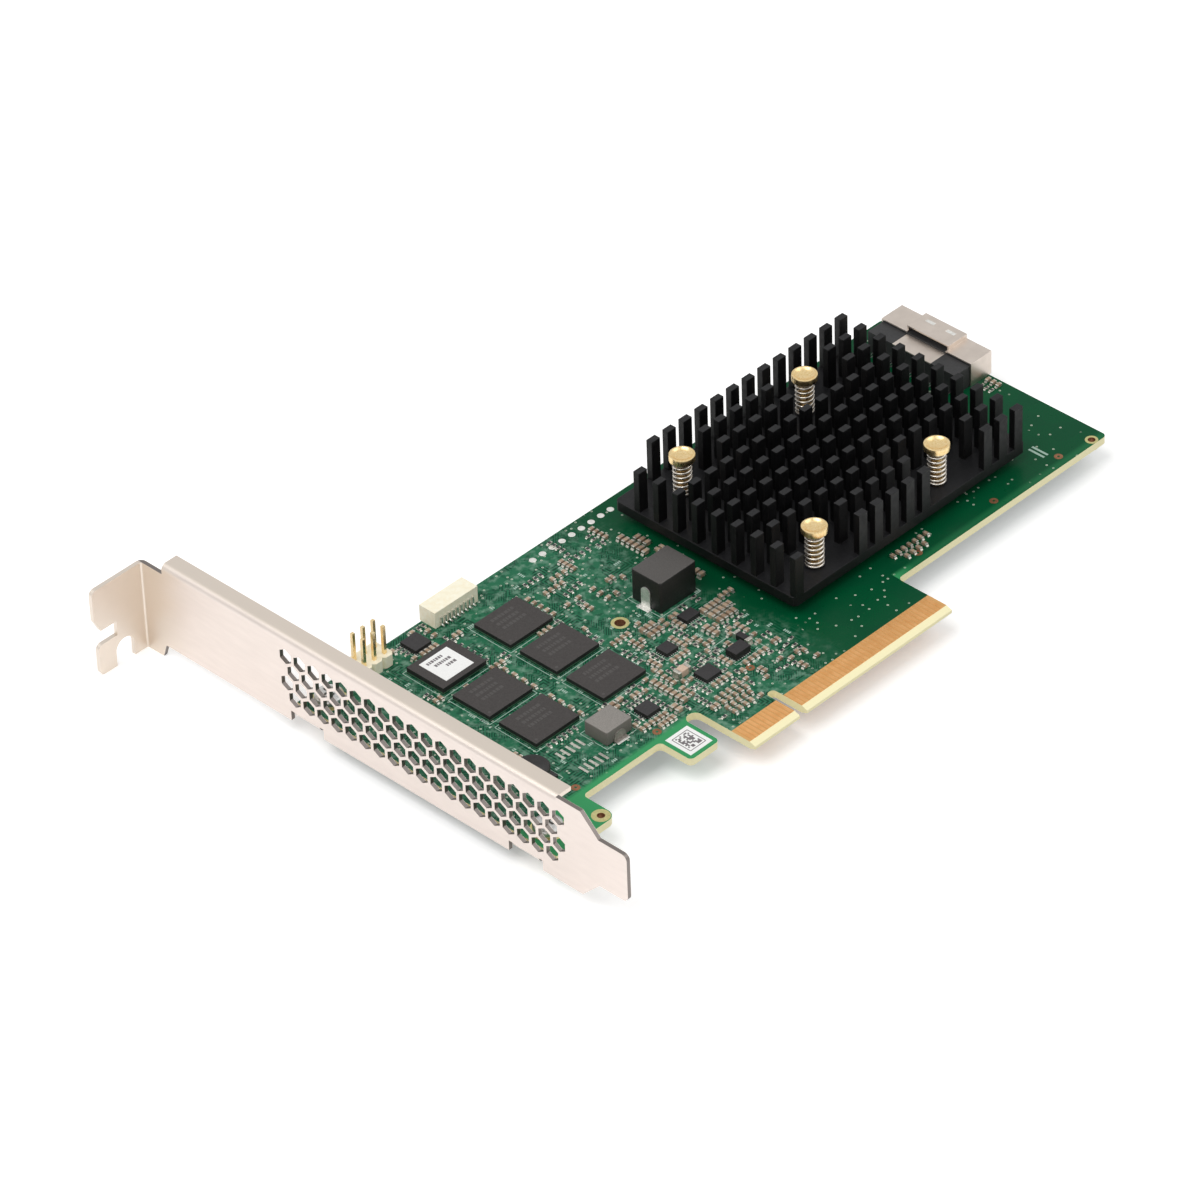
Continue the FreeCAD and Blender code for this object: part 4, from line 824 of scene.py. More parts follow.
    def ring(self, centre: tuple[float, float], inner: float, outer: float, floor: float,
             height: float, steps: int = 28) -> None:
        """Add a low flat ring.

        Args:
            centre: its middle on the board.
            inner: inside radius.
            outer: outside radius.
            floor: lower face along Z.
            height: thickness.
            steps: sides of each circle.
        """
        self.lathe(centre, [(inner, floor), (outer, floor), (outer, floor + height),
                            (inner, floor + height), (inner, floor)], steps)

    def build(self, finish: Finish, slot: str, replaces: Sequence[str] = (),
              smooth: float = 0.0) -> bpy.types.Object:
        """Turn the geometry into an object on the card.

        Args:
            finish: what it is made of.
            slot: the record's material slot that it belongs to; not used.
            replaces: CAD nodes that it stands for.
            smooth: angle in degrees below which edges are shaded smooth.

        Returns:
            The object.
        """
        bmesh.ops.recalc_face_normals(self.mesh, faces=self.mesh.faces)
        data = bpy.data.meshes.new(self.name)
        self.mesh.to_mesh(data)
        self.mesh.free()
        if smooth > 0:
            data.shade_smooth()
            data.set_sharp_from_angle(angle=math.radians(smooth))
        piece = bpy.data.objects.new(self.name, data)
        bpy.context.scene.collection.objects.link(piece)
        data.materials.append(material_of(finish))
        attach(piece, "root")
        if replaces:
            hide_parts(*replaces)
        LOG.info("%s: %d faces", self.name, len(data.polygons))
        return piece


def carve(piece: bpy.types.Object, tool: bpy.types.Object) -> None:
    """Cut one piece out of another and throw the tool away.

    Args:
        piece: the piece that is cut.
        tool: the shape that is taken out of it.
    """
    modifier = piece.modifiers.new("carve", "BOOLEAN")
    modifier.operation = "DIFFERENCE"
    modifier.solver = "EXACT"
    modifier.use_self = True
    modifier.object = tool
    bpy.context.view_layer.update()
    cut = bpy.data.meshes.new_from_object(
        piece.evaluated_get(bpy.context.evaluated_depsgraph_get()))
    piece.modifiers.clear()
    piece.data = cut
    bpy.data.objects.remove(tool)


def dress(node: bpy.types.Object, finish: Finish) -> None:
    """Give every material slot of a CAD node one finish.

    Args:
        node: the CAD node's object.
        finish: what it is made of.
    """
    if not node.data.materials:
        node.data.materials.append(None)
    for place in range(len(node.data.materials)):
        node.data.materials[place] = material_of(finish)
    LOG.info("%s: %s", node.name, finish.name)


def solids(name: str) -> list[tuple[Vector, Vector]]:
    """Lowest and highest corner of every separate solid in a CAD node.

    Args:
        name: the node.

    Returns:
        A pair of corners for each solid, ordered along X, then Y.
    """
    mesh = bmesh.new()
    mesh.from_mesh(bpy.data.objects[name].data)
    bmesh.ops.remove_doubles(mesh, verts=mesh.verts, dist=1e-6)
    left = set(mesh.verts)
    boxes = []
    while left:
        edge = [left.pop()]
        group = []
        while edge:
            vert = edge.pop()
            group.append(vert.co.copy())
            for link in vert.link_edges:
                other = link.other_vert(vert)
                if other in left:
                    left.remove(other)
                    edge.append(other)
        low = Vector([min(co[axis] for co in group) for axis in range(3)])
        high = Vector([max(co[axis] for co in group) for axis in range(3)])
        boxes.append((low, high))
    mesh.free()
    return sorted(boxes, key=lambda box: (round(box[0].x, 5), round(box[0].y, 5)))


# ------------------------------------------------------------------------------ the card

class Lie(Enum):
    """The way a two-ended part lies on the board."""

    ALONG_X = 0
    ALONG_Y = 1


class Face(Enum):
    """The side of the board a part or mark is on."""

    FRONT = 1
    BACK = -1


class Kind(Enum):
    """What a small two-ended part is."""

    CAPACITOR = "capacitor"
    RESISTOR = "resistor"


@dataclass
class TwoEnded:
    """Small two-ended parts: a body between tinned ends, with a solder fillet at each end.

    The bodies of one batch are one piece, and its ends with their solder are another. An end
    takes a share of the part's length, and the body reaches into it a little.
    """

    name: str
    finish: Finish
    share: float = 0.24
    bared: float = 0.8
    chamfer: float = 0.05 * MM
    body_chamfer: float = 0.02 * MM
    proud: float = 0.015 * MM
    solder: float = 0.22 * MM
    bite: float = 0.05 * MM
    climb: float = 0.55

    def __post_init__(self) -> None:
        """Start the batch's pieces."""
        self.bodies = Maker(self.name + "_bodies")
        self.ends = Maker(self.name + "_ends")

    def add(self, low: Vector, high: Vector, face: Face) -> None:
        """Add one part.

        Args:
            low: lowest corner of the part.
            high: highest corner of the part.
            face: the side of the board it is on.
        """
        size = high - low
        along = 0 if size.x >= size.y else 1
        across = 1 - along
        end = size[along] * self.share
        body_low, body_high = low.copy(), high.copy()
        body_low[along] += end * self.bared
        body_high[along] -= end * self.bared
        for corner, sign in ((body_low, 1), (body_high, -1)):
            corner[across] += sign * self.proud
        self.bodies.box(body_low, body_high, self.body_chamfer)
        board = low.z if face is Face.FRONT else high.z
        for side in (-1, 1):
            cap_low, cap_high = low.copy(), high.copy()
            if side < 0:
                cap_high[along] = low[along] + end
            else:
                cap_low[along] = high[along] - end
            self.ends.box(cap_low, cap_high, self.chamfer)
            outer = low[along] if side < 0 else high[along]
            corners = []
            for edge in (low[across] + self.chamfer, high[across] - self.chamfer):
                for reach, rise in ((-self.bite, 0.0), (self.solder, 0.0),
                                    (-self.bite, size.z * self.climb)):
                    corner = [0.0, 0.0, board + face.value * rise]
                    corner[along] = outer + side * reach
                    corner[across] = edge
                    corners.append(corner)
            self.ends.hull(corners)

    def build(self, slot: str, replaces: Sequence[str] = ()) -> None:
        """Finish the batch's pieces.

        Args:
            slot: material slot of the bodies.
            replaces: CAD nodes that the batch stands for.
        """
        self.bodies.build(self.finish, slot, replaces)
        self.ends.build(SOLDER, "terminal_tin")


@dataclass
class Room:
    """Bare board on one face: the rectangles that parts take up, sorted by search square.

    A ray that drops from high above a place tells whether the board is under it.
    """

    square: float = 4 * MM
    bore_rim: float = 0.8 * MM
    drop: float = 1.0
    taken: dict[tuple[int, int], list[Rectangle]] = field(
        default_factory=lambda: defaultdict(list))

    def squares(self, area: Rectangle) -> list[tuple[int, int]]:
        """List the search squares that a rectangle touches.

        Args:
            area: the rectangle.

        Returns:
            Column and row of each square.
        """
        left, lower, right, upper = (math.floor(edge / self.square) for edge in area)
        return [(column, row) for column in range(left, right + 1)
                for row in range(lower, upper + 1)]

    def keep(self, area: Rectangle) -> None:
        """Note a rectangle as taken."""
        for square in self.squares(area):
            self.taken[square].append(area)

    def survey(self, names: Iterable[str], record: dict) -> None:
        """Take up the places of CAD nodes and of the board's bores.

        Args:
            names: the nodes that stand on this face.
            record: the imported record.
        """
        for name in names:
            for low, high in solids(name):
                self.keep((low.x, low.y, high.x, high.y))
        for mount in record["mounts"]:
            if mount["kind"] == "bore":
                x, y = mount["pos_m"][:2]
                reach = mount["dims"]["r_mm"] * MM + self.bore_rim
                self.keep((x - reach, y - reach, x + reach, y + reach))

    def on_board(self, area: Rectangle) -> bool:
        """Say whether the board lies under all four corners of a rectangle.

        Args:
            area: the rectangle.

        Returns:
            True where it does.
        """
        board = bpy.data.objects["circuit_board"]
        inward = board.matrix_world.inverted()
        down = inward.to_3x3() @ Vector((0, 0, -1))
        return all(board.ray_cast(inward @ Vector((x, y, self.drop)), down)[0]
                   for x in area[::2] for y in area[1::2])

    def take(self, low: Point, high: Point, gap: float = 0.0) -> bool:
        """Take a rectangle if it is free, and say whether it was.

        Args:
            low: lowest corner.
            high: highest corner.
            gap: bare board kept round it.

        Returns:
            True where nothing stood in the way.
        """
        wide = (low[0] - gap, low[1] - gap, high[0] + gap, high[1] + gap)
        for square in self.squares(wide):
            for left, lower, right, upper in self.taken[square]:
                if (wide[0] < right and wide[2] > left
                        and wide[1] < upper and wide[3] > lower):
                    return False
        if not self.on_board(wide):
            return False
        self.keep((low[0], low[1], high[0], high[1]))
        return True


@dataclass(frozen=True)
class Row:
    """A row of small parts, placed in millimetres from the middle of a CAD node."""

    anchor: str
    first: tuple[float, float]
    step: tuple[float, float]
    count: int
    lie: Lie
    kind: Kind = Kind.CAPACITOR
    face: Face = Face.FRONT


@dataclass(frozen=True)
class Area:
    """A stretch of board that fine parts fill, in millimetres from a CAD node's middle."""

    anchor: str
    low: tuple[float, float]
    high: tuple[float, float]
    parts: int
    face: Face = Face.FRONT


@dataclass
class SmallParts:
    """Ceramic capacitors from the CAD model and the finer parts between the chips.

    Fine parts stand in rows beside the chips, and in short runs at chance places in areas. The
    steps along a run are in millimetres.
    """

    front: Room
    back: Room
    seed: int = 11
    gap: float = 0.24 * MM
    tries: int = 12
    run_step: tuple[float, float] = (1.0, 1.3)
    run_parts: tuple[int, int] = (1, 4)
    areas: tuple[Area, ...] = (
        Area("regulator_chip_2", (-7.4, -11.4), (17.0, 17.0), 84),
        Area("regulator_chip_1", (-4.8, -4.8), (9.0, 5.6), 26),
        Area("inductor_core", (-16.0, 5.0), (-1.0, 23.0), 12),
        Area("inductor_core", (0.0, 9.0), (10.0, 24.6), 10),
        Area("monitor_chip", (-6.0, -4.0), (6.5, 3.0), 10),
        Area("flash_chip", (-8.0, -7.0), (8.6, 7.0), 10),
        Area("memory_chip_2", (-8.4, -6.8), (8.6, 6.0), 10),
        Area("power_inductor_core", (-3.0, 3.6), (24.0, 5.4), 6),
        Area("controller_package", (-12.0, -12.0), (12.0, 12.0), 90, Face.BACK),
        Area("memory_chip_2", (-20.0, -16.0), (9.0, 16.0), 60, Face.BACK),
        Area("regulator_chip_2", (-9.0, -7.0), (16.0, 16.0), 60, Face.BACK),
        Area("port_insulator", (-16.0, -12.0), (-5.0, 12.0), 24, Face.BACK),
    )
    sizes: dict[Kind, tuple[float, float, float]] = field(default_factory=lambda: {
        Kind.CAPACITOR: (1.25 * MM, 0.7 * MM, 0.6 * MM),
        Kind.RESISTOR: (1.05 * MM, 0.55 * MM, 0.35 * MM)})
    rows: tuple[Row, ...] = (
        Row("regulator_chip_2", (-3.9, -6.0), (1.45, 0), 5, Lie.ALONG_Y),
        Row("regulator_chip_2", (-3.9, -7.6), (1.45, 0), 5, Lie.ALONG_Y),
        Row("regulator_chip_2", (-4.6, -9.2), (1.45, 0), 5, Lie.ALONG_Y),
        Row("regulator_chip_2", (-4.6, -10.8), (1.45, 0), 4, Lie.ALONG_Y),
        Row("regulator_chip_2", (-3.4, -3.6), (0, 1.05), 4, Lie.ALONG_X, Kind.RESISTOR),
        Row("regulator_chip_2", (3.1, 2.9), (0, 1.1), 3, Lie.ALONG_X, Kind.RESISTOR),
        Row("regulator_chip_2", (-1.5, -3.0), (1.3, 0), 4, Lie.ALONG_Y),
        Row("regulator_chip_3", (-2.7, -1.2), (0, 1.1), 3, Lie.ALONG_X, Kind.RESISTOR),
        Row("regulator_chip_3", (2.9, -1.6), (0, 1.1), 4, Lie.ALONG_X),
        Row("regulator_chip_3", (-1.6, -2.9), (1.2, 0), 4, Lie.ALONG_Y),
        Row("regulator_chip_3", (5.2, 0.2), (0, 1.2), 4, Lie.ALONG_X, Kind.RESISTOR),
        Row("regulator_chip_1", (-1.4, 3.1), (1.0, 0), 4, Lie.ALONG_Y, Kind.RESISTOR),
        Row("regulator_chip_1", (3.1, -3.0), (0, 1.1), 6, Lie.ALONG_X, Kind.RESISTOR),
        Row("regulator_chip_1", (-0.8, -3.1), (1.1, 0), 3, Lie.ALONG_Y),
        Row("tantalum_capacitor", (-3.0, -0.8), (0, 1.2), 3, Lie.ALONG_X),
        Row("tantalum_capacitor", (-1.2, 2.2), (1.2, 0), 3, Lie.ALONG_Y, Kind.RESISTOR),
        Row("tantalum_capacitor", (-3.2, -5.4), (0, 1.2), 3, Lie.ALONG_X),
        Row("clock_chip", (-2.8, -1.4), (0, 1.1), 3, Lie.ALONG_X),
        Row("clock_chip", (-1.2, -2.4), (1.2, 0), 3, Lie.ALONG_Y, Kind.RESISTOR),
        Row("power_stage", (-3.2, -1.0), (0, 1.1), 3, Lie.ALONG_X),
        Row("power_stage", (-1.2, -3.0), (1.3, 0), 5, Lie.ALONG_Y),
        Row("power_stage", (5.6, -5.4), (1.9, 0.6), 3, Lie.ALONG_X, Kind.RESISTOR),
        Row("power_stage", (1.4, -8.6), (1.6, -0.4), 3, Lie.ALONG_X, Kind.RESISTOR),
        Row("power_diode", (2.4, 1.2), (0, 1.2), 3, Lie.ALONG_X),
        Row("inductor_core", (-7.6, 6.8), (0, 1.9), 3, Lie.ALONG_X),
        Row("inductor_core", (-1.4, 9.0), (-4.2, -2.4), 2, Lie.ALONG_Y),
        Row("inductor_core", (-14.2, 16.0), (1.4, 0), 4, Lie.ALONG_Y),
        Row("inductor_core", (-12.0, 13.1), (1.4, 0.2), 4, Lie.ALONG_Y, Kind.RESISTOR),
        Row("inductor_core", (-14.0, 10.8), (1.4, 0), 4, Lie.ALONG_X),
        Row("inductor_core", (-10.4, 18.0), (1.5, 0), 3, Lie.ALONG_Y),
        Row("inductor_core", (-14.8, 20.6), (1.3, 0), 4, Lie.ALONG_Y, Kind.RESISTOR),
        Row("inductor_core", (-4.0, 19.6), (1.5, 0), 4, Lie.ALONG_Y, Kind.RESISTOR),
        Row("inductor_core", (5.4, 9.4), (0, 1.4), 4, Lie.ALONG_Y, Kind.RESISTOR),
        Row("monitor_chip", (-2.9, -0.8), (0, 1.1), 3, Lie.ALONG_X, Kind.RESISTOR),
        Row("monitor_chip", (-1.2, -3.0), (1.1, 0), 4, Lie.ALONG_Y),
        Row("flash_chip", (6.6, -3.4), (0, 1.6), 5, Lie.ALONG_X, Kind.RESISTOR),
        Row("memory_chip_5", (6.8, -3.6), (0, 2.4), 4, Lie.ALONG_Y),
        Row("memory_chip_4", (6.8, -3.6), (0, 2.4), 4, Lie.ALONG_Y),
        Row("memory_chip_3", (6.9, -3.2), (0, 1.6), 5, Lie.ALONG_X),
        Row("memory_chip_2", (7.0, -3.6), (0, 1.5), 3, Lie.ALONG_X, Kind.RESISTOR),
        Row("memory_chip_4", (-2.0, -5.6), (1.3, 0), 5, Lie.ALONG_Y, Kind.RESISTOR),
        Row("heatsink", (-6.6, -23.6), (1.5, 0), 7, Lie.ALONG_Y),
        Row("heatsink", (-4.8, -25.4), (1.6, 0), 4, Lie.ALONG_Y),
        Row("port_shell", (-1.4, -12.6), (0, -1.2), 3, Lie.ALONG_X, Kind.RESISTOR),
        Row("port_shell", (0.6, -12.4), (0, -1.3), 3, Lie.ALONG_X),
        Row("controller_package", (-8.0, -7.6), (1.8, 0), 10, Lie.ALONG_Y, Kind.RESISTOR,
            Face.BACK),
        Row("controller_package", (-8.0, 8.4), (1.8, 0), 10, Lie.ALONG_Y, Kind.CAPACITOR,
            Face.BACK),
        Row("edge_contacts_back", (-22.0, 7.4), (1.9, 0), 18, Lie.ALONG_Y, Kind.CAPACITOR,
            Face.BACK),
        Row("memory_chip_3", (-5.0, -6.0), (2.0, 0), 6, Lie.ALONG_X, Kind.RESISTOR, Face.BACK),
        Row("memory_chip_5", (-5.0, -6.0), (2.0, 0), 6, Lie.ALONG_X, Kind.RESISTOR, Face.BACK),
        Row("port_insulator", (-5.4, -9.0), (0, 1.8), 11, Lie.ALONG_X, Kind.CAPACITOR,
            Face.BACK),
        Row("regulator_chip_1", (-3.4, -1.0), (1.6, 0), 5, Lie.ALONG_Y, Kind.RESISTOR,
            Face.BACK),
        Row("regulator_chip_2", (-4.0, 0.0), (1.6, 0), 6, Lie.ALONG_Y, Kind.CAPACITOR,
            Face.BACK),
    )

    def __post_init__(self) -> None:
        """Measure the board once and start the batches of fine parts."""
        low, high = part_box("circuit_board")
        self.board_under, self.board_top = low.z, high.z
        self.batches = {Kind.CAPACITOR: TwoEnded("fine_capacitors", CERAMIC),
                        Kind.RESISTOR: TwoEnded("fine_resistors", GLAZE)}

    def place(self, x: float, y: float, lie: Lie, kind: Kind, face: Face) -> bool:
        """Put one fine part on the board if its place is free.

        Args:
            x: its middle along X.
            y: its middle along Y.
            lie: the way it lies.
            kind: what it is.
            face: the side of the board.

        Returns:
            True if it was placed.
        """
        size = Vector(self.sizes[kind])
        if lie is Lie.ALONG_Y:
            size.x, size.y = size.y, size.x
        floor = self.board_top if face is Face.FRONT else self.board_under - size.z
        corner = Vector((x - size.x / 2, y - size.y / 2, floor))
        room = self.front if face is Face.FRONT else self.back
        if not room.take(corner, corner + size, self.gap):
            return False
        self.batches[kind].add(corner, corner + size, face)
        return True

    def make_rows(self) -> None:
        """Build every row of the finer parts that fits."""
        for row in self.rows:
            low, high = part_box(row.anchor)
            middle = (low + high) / 2
            for place in range(row.count):
                self.place(middle.x + (row.first[0] + row.step[0] * place) * MM,
                           middle.y + (row.first[1] + row.step[1] * place) * MM,
                           row.lie, row.kind, row.face)

    def fill_areas(self) -> None:
        """Fill each area with short runs of parts, side by side, where there is room."""
        lot = random.Random(self.seed)
        for area in self.areas:
            low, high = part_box(area.anchor)
            middle = (low + high) / 2
            left = area.parts
            for _ in range(area.parts * self.tries):
                if left <= 0:
                    break
                x = middle.x + lot.uniform(area.low[0], area.high[0]) * MM
                y = middle.y + lot.uniform(area.low[1], area.high[1]) * MM
                lie = lot.choice((Lie.ALONG_X, Lie.ALONG_Y))
                kind = lot.choice((Kind.CAPACITOR, Kind.CAPACITOR, Kind.RESISTOR))
                step = lot.uniform(*self.run_step) * MM
                for place in range(lot.randint(*self.run_parts)):
                    shift = step * place
                    across = (shift, 0.0) if lie is Lie.ALONG_Y else (0.0, shift)
                    left -= self.place(x + across[0], y + across[1], lie, kind, area.face)

    def make(self) -> None:
        """Build the parts that the CAD model holds, then the finer ones."""
        for node, finish, face in (("ceramic_capacitors", CERAMIC, Face.FRONT),
                                   ("back_capacitors", CERAMIC, Face.BACK),
                                   ("tantalum_capacitor", TANTALUM, Face.FRONT),
                                   ("power_diode", MOULDING, Face.FRONT)):
            batch = TwoEnded(node, finish)
            for low, high in solids(node):
                batch.add(low, high, face)
            slot = "package_black" if finish is MOULDING else "capacitor_ceramic"
            batch.build(slot, [node])
        self.make_rows()
        self.fill_areas()
        for batch in self.batches.values():
            batch.build("capacitor_ceramic")


@dataclass
class Inductors:
    """The moulded cubes with rounded edges, and the low round inductor by the bracket."""

    edge: float = 0.32 * MM
    small_edge: float = 0.2 * MM
    foot: float = 0.8 * MM
    sunk: float = 0.9
    neck: float = 0.78
    # The drum's top flange: shares of its radius, and how far below the top.
    flange: tuple[tuple[float, float], ...] = (
        (0.94, 0.8 * MM), (1.0, 0.64 * MM), (1.0, 0.24 * MM), (0.94, 0.0), (0.6, 0.0),
        (0.55, 0.12 * MM), (0.0, 0.12 * MM))
    sides: int = 48

    def round_one(self, name: str) -> None:
        """Build the round drum core on its square foot, in the space the CAD keeps for it.

        Args:
            name: the CAD node that it stands for.
        """
        low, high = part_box(name)
        middle = (low + high) / 2
        reach = (high.x - low.x) / 2
        maker = Maker("drum_inductor")
        maker.block(low, (high.x, high.y, low.z + self.foot), self.small_edge)
        start = low.z + self.foot * self.sunk
        under = high.z - self.flange[0][1]
        section = [(0.0, start), (reach * self.neck, start), (reach * self.neck, under)]
        section += [(reach * share, high.z - drop) for share, drop in self.flange]
        maker.lathe((middle.x, middle.y), section, self.sides)
        maker.build(DARK_FERRITE, "inductor_ferrite", [name], smooth=40)

    def make(self) -> None:
        """Build the three inductors' bodies."""
        for name, slot, finish, edge in (
                ("inductor_core", "inductor_ferrite", FERRITE, self.edge),
                ("choke_core", "choke_ferrite", IRON_POWDER, self.small_edge)):
            maker = Maker(name + "_body")
            low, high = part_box(name)
            maker.block(low, high, edge)
            maker.build(finish, slot, [name], smooth=50)
        self.round_one("power_inductor_core")


@dataclass
class Springs:
    """Compression springs under the heatsink's screw heads, wound from round wire."""

    wire: float = 0.5 * MM
    turns: float = 8.0
    closed: float = 1.0
    packing: float = 0.9
    steps: int = 26

    def level(self, turn: float, flat: float) -> float:
        """How far up the spring a turn has come, from 0 to 1, with closed ends.

        Args:
            turn: turns wound so far.
            flat: share of the height that one closed end takes.

        Returns:
            The share of the spring's height.
        """
        if turn < self.closed:
            return flat * turn / self.closed
        if turn > self.turns - self.closed:
            return 1 - flat * (self.turns - turn) / self.closed
        return flat + (1 - flat * 2) * (turn - self.closed) / (self.turns - self.closed * 2)

    def make(self) -> None:
        """Wind one spring in each place that the CAD model keeps for it."""
        maker = Maker("spring_coils")
        for low, high in solids("screw_springs"):
            middle = (low + high) / 2
            radius = (high.x - low.x) / 2 - self.wire / 2
            rise = high.z - low.z - self.wire
            flat = self.wire * self.packing / rise
            path = []
            for step in range(int(self.turns * self.steps) + 1):
                turn = step / self.steps
                angle = 2 * math.pi * turn
                path.append(Vector((middle.x + radius * math.cos(angle),
                                    middle.y + radius * math.sin(angle),
                                    low.z + self.wire / 2 + rise * self.level(turn, flat))))
            maker.tube(path, self.wire / 2)
        maker.build(SPRING_WIRE, "spring_steel", ["screw_springs"], smooth=60)


@dataclass
class SpringScrews:
    """Turned screws that press the heatsink down: a rimmed head with a round dish."""

    head_height: float = 1.35 * MM
    # The head's rim: how far in from its side, and how far below its top.
    rim: tuple[tuple[float, float], ...] = (
        (0.0, 0.22 * MM), (0.066 * MM, 0.066 * MM), (0.22 * MM, 0.0), (0.42 * MM, 0.0))
    under_edge: float = 0.11 * MM
    dish: float = 0.62 * MM
    dish_curve: float = 0.6
    rings: int = 6
    shank: float = 1.2 * MM
    tip: float = 0.22 * MM
    tip_end: float = 0.8
    sides: int = 40

    def make(self) -> None:
        """Turn one screw in each place that the CAD model gives."""
        maker = Maker("spring_screw_bodies")
        for low, high in solids("spring_screws"):
            middle = (low + high) / 2
            radius = (high.x - low.x) / 2
            under = high.z - self.head_height
            section = [(0.0, low.z), (self.shank * self.tip_end, low.z),
                       (self.shank, low.z + self.tip), (self.shank, under),
                       (radius - self.under_edge, under), (radius, under + self.under_edge)]
            section += [(radius - inward, high.z - drop) for inward, drop in self.rim]
            bowl = section[-1][0]
            for ring in range(1, self.rings + 1):
                share = ring / self.rings
                depth = self.dish * math.sin(share * math.pi / 2) ** self.dish_curve
                section.append((bowl * (1 - share), high.z - depth))
            maker.lathe((middle.x, middle.y), section, self.sides)
        maker.build(BRASS, "screw_brass", ["spring_screws"], smooth=32)


@dataclass
class BracketScrews:
    """Pan-head screws with a cross recess that hold the bracket's ears."""

    # The head's dome: shares of its radius, and how far below the top.
    dome: tuple[tuple[float, float], ...] = (
        (1.0, 0.75 * MM), (0.95, 0.4125 * MM), (0.8, 0.2 * MM), (0.5, 0.0), (0.0, 0.0))
    under: float = 0.96
    under_edge: float = 0.12 * MM
    shank: float = 0.545
    tip: float = 0.3 * MM
    tip_end: float = 0.8
    recess: float = 1.1 * MM
    arm: float = 1.35 * MM
    arm_width: float = 0.5 * MM
    sides: int = 32

    def make(self) -> None:
        """Build the screws and cut the recess into each head."""
        maker = Maker("pan_head_screws")
        cutter = Maker("recess_cutter")
        board_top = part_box("circuit_board")[1].z
        for low, high in solids("bracket_screws"):
            middle = (low + high) / 2
            radius = (high.x - low.x) / 2
            shank = radius * self.shank
            section = [(0.0, low.z), (shank * self.tip_end, low.z), (shank, low.z + self.tip),
                       (shank, board_top), (radius * self.under, board_top),
                       (radius, board_top + self.under_edge)]
            section += [(radius * share, high.z - drop) for share, drop in self.dome]
            maker.lathe((middle.x, middle.y), section, self.sides)
            for wide, deep in ((self.arm, self.arm_width / 2), (self.arm_width / 2, self.arm)):
                cutter.box((middle.x - wide, middle.y - deep, high.z - self.recess),
                           (middle.x + wide, middle.y + deep, high.z + self.recess))
        tool = cutter.build(SCREW_STEEL, "screw_steel")
        screws = maker.build(SCREW_STEEL, "screw_steel", ["bracket_screws"], smooth=32)
        carve(screws, tool)


@dataclass(frozen=True)
class SmallPrint:
    """Rows of bars that stand for small print: lengths, height, spacing and row pitch."""

    shortest: float
    longest: float
    tall: float
    gap: float
    pitch: float


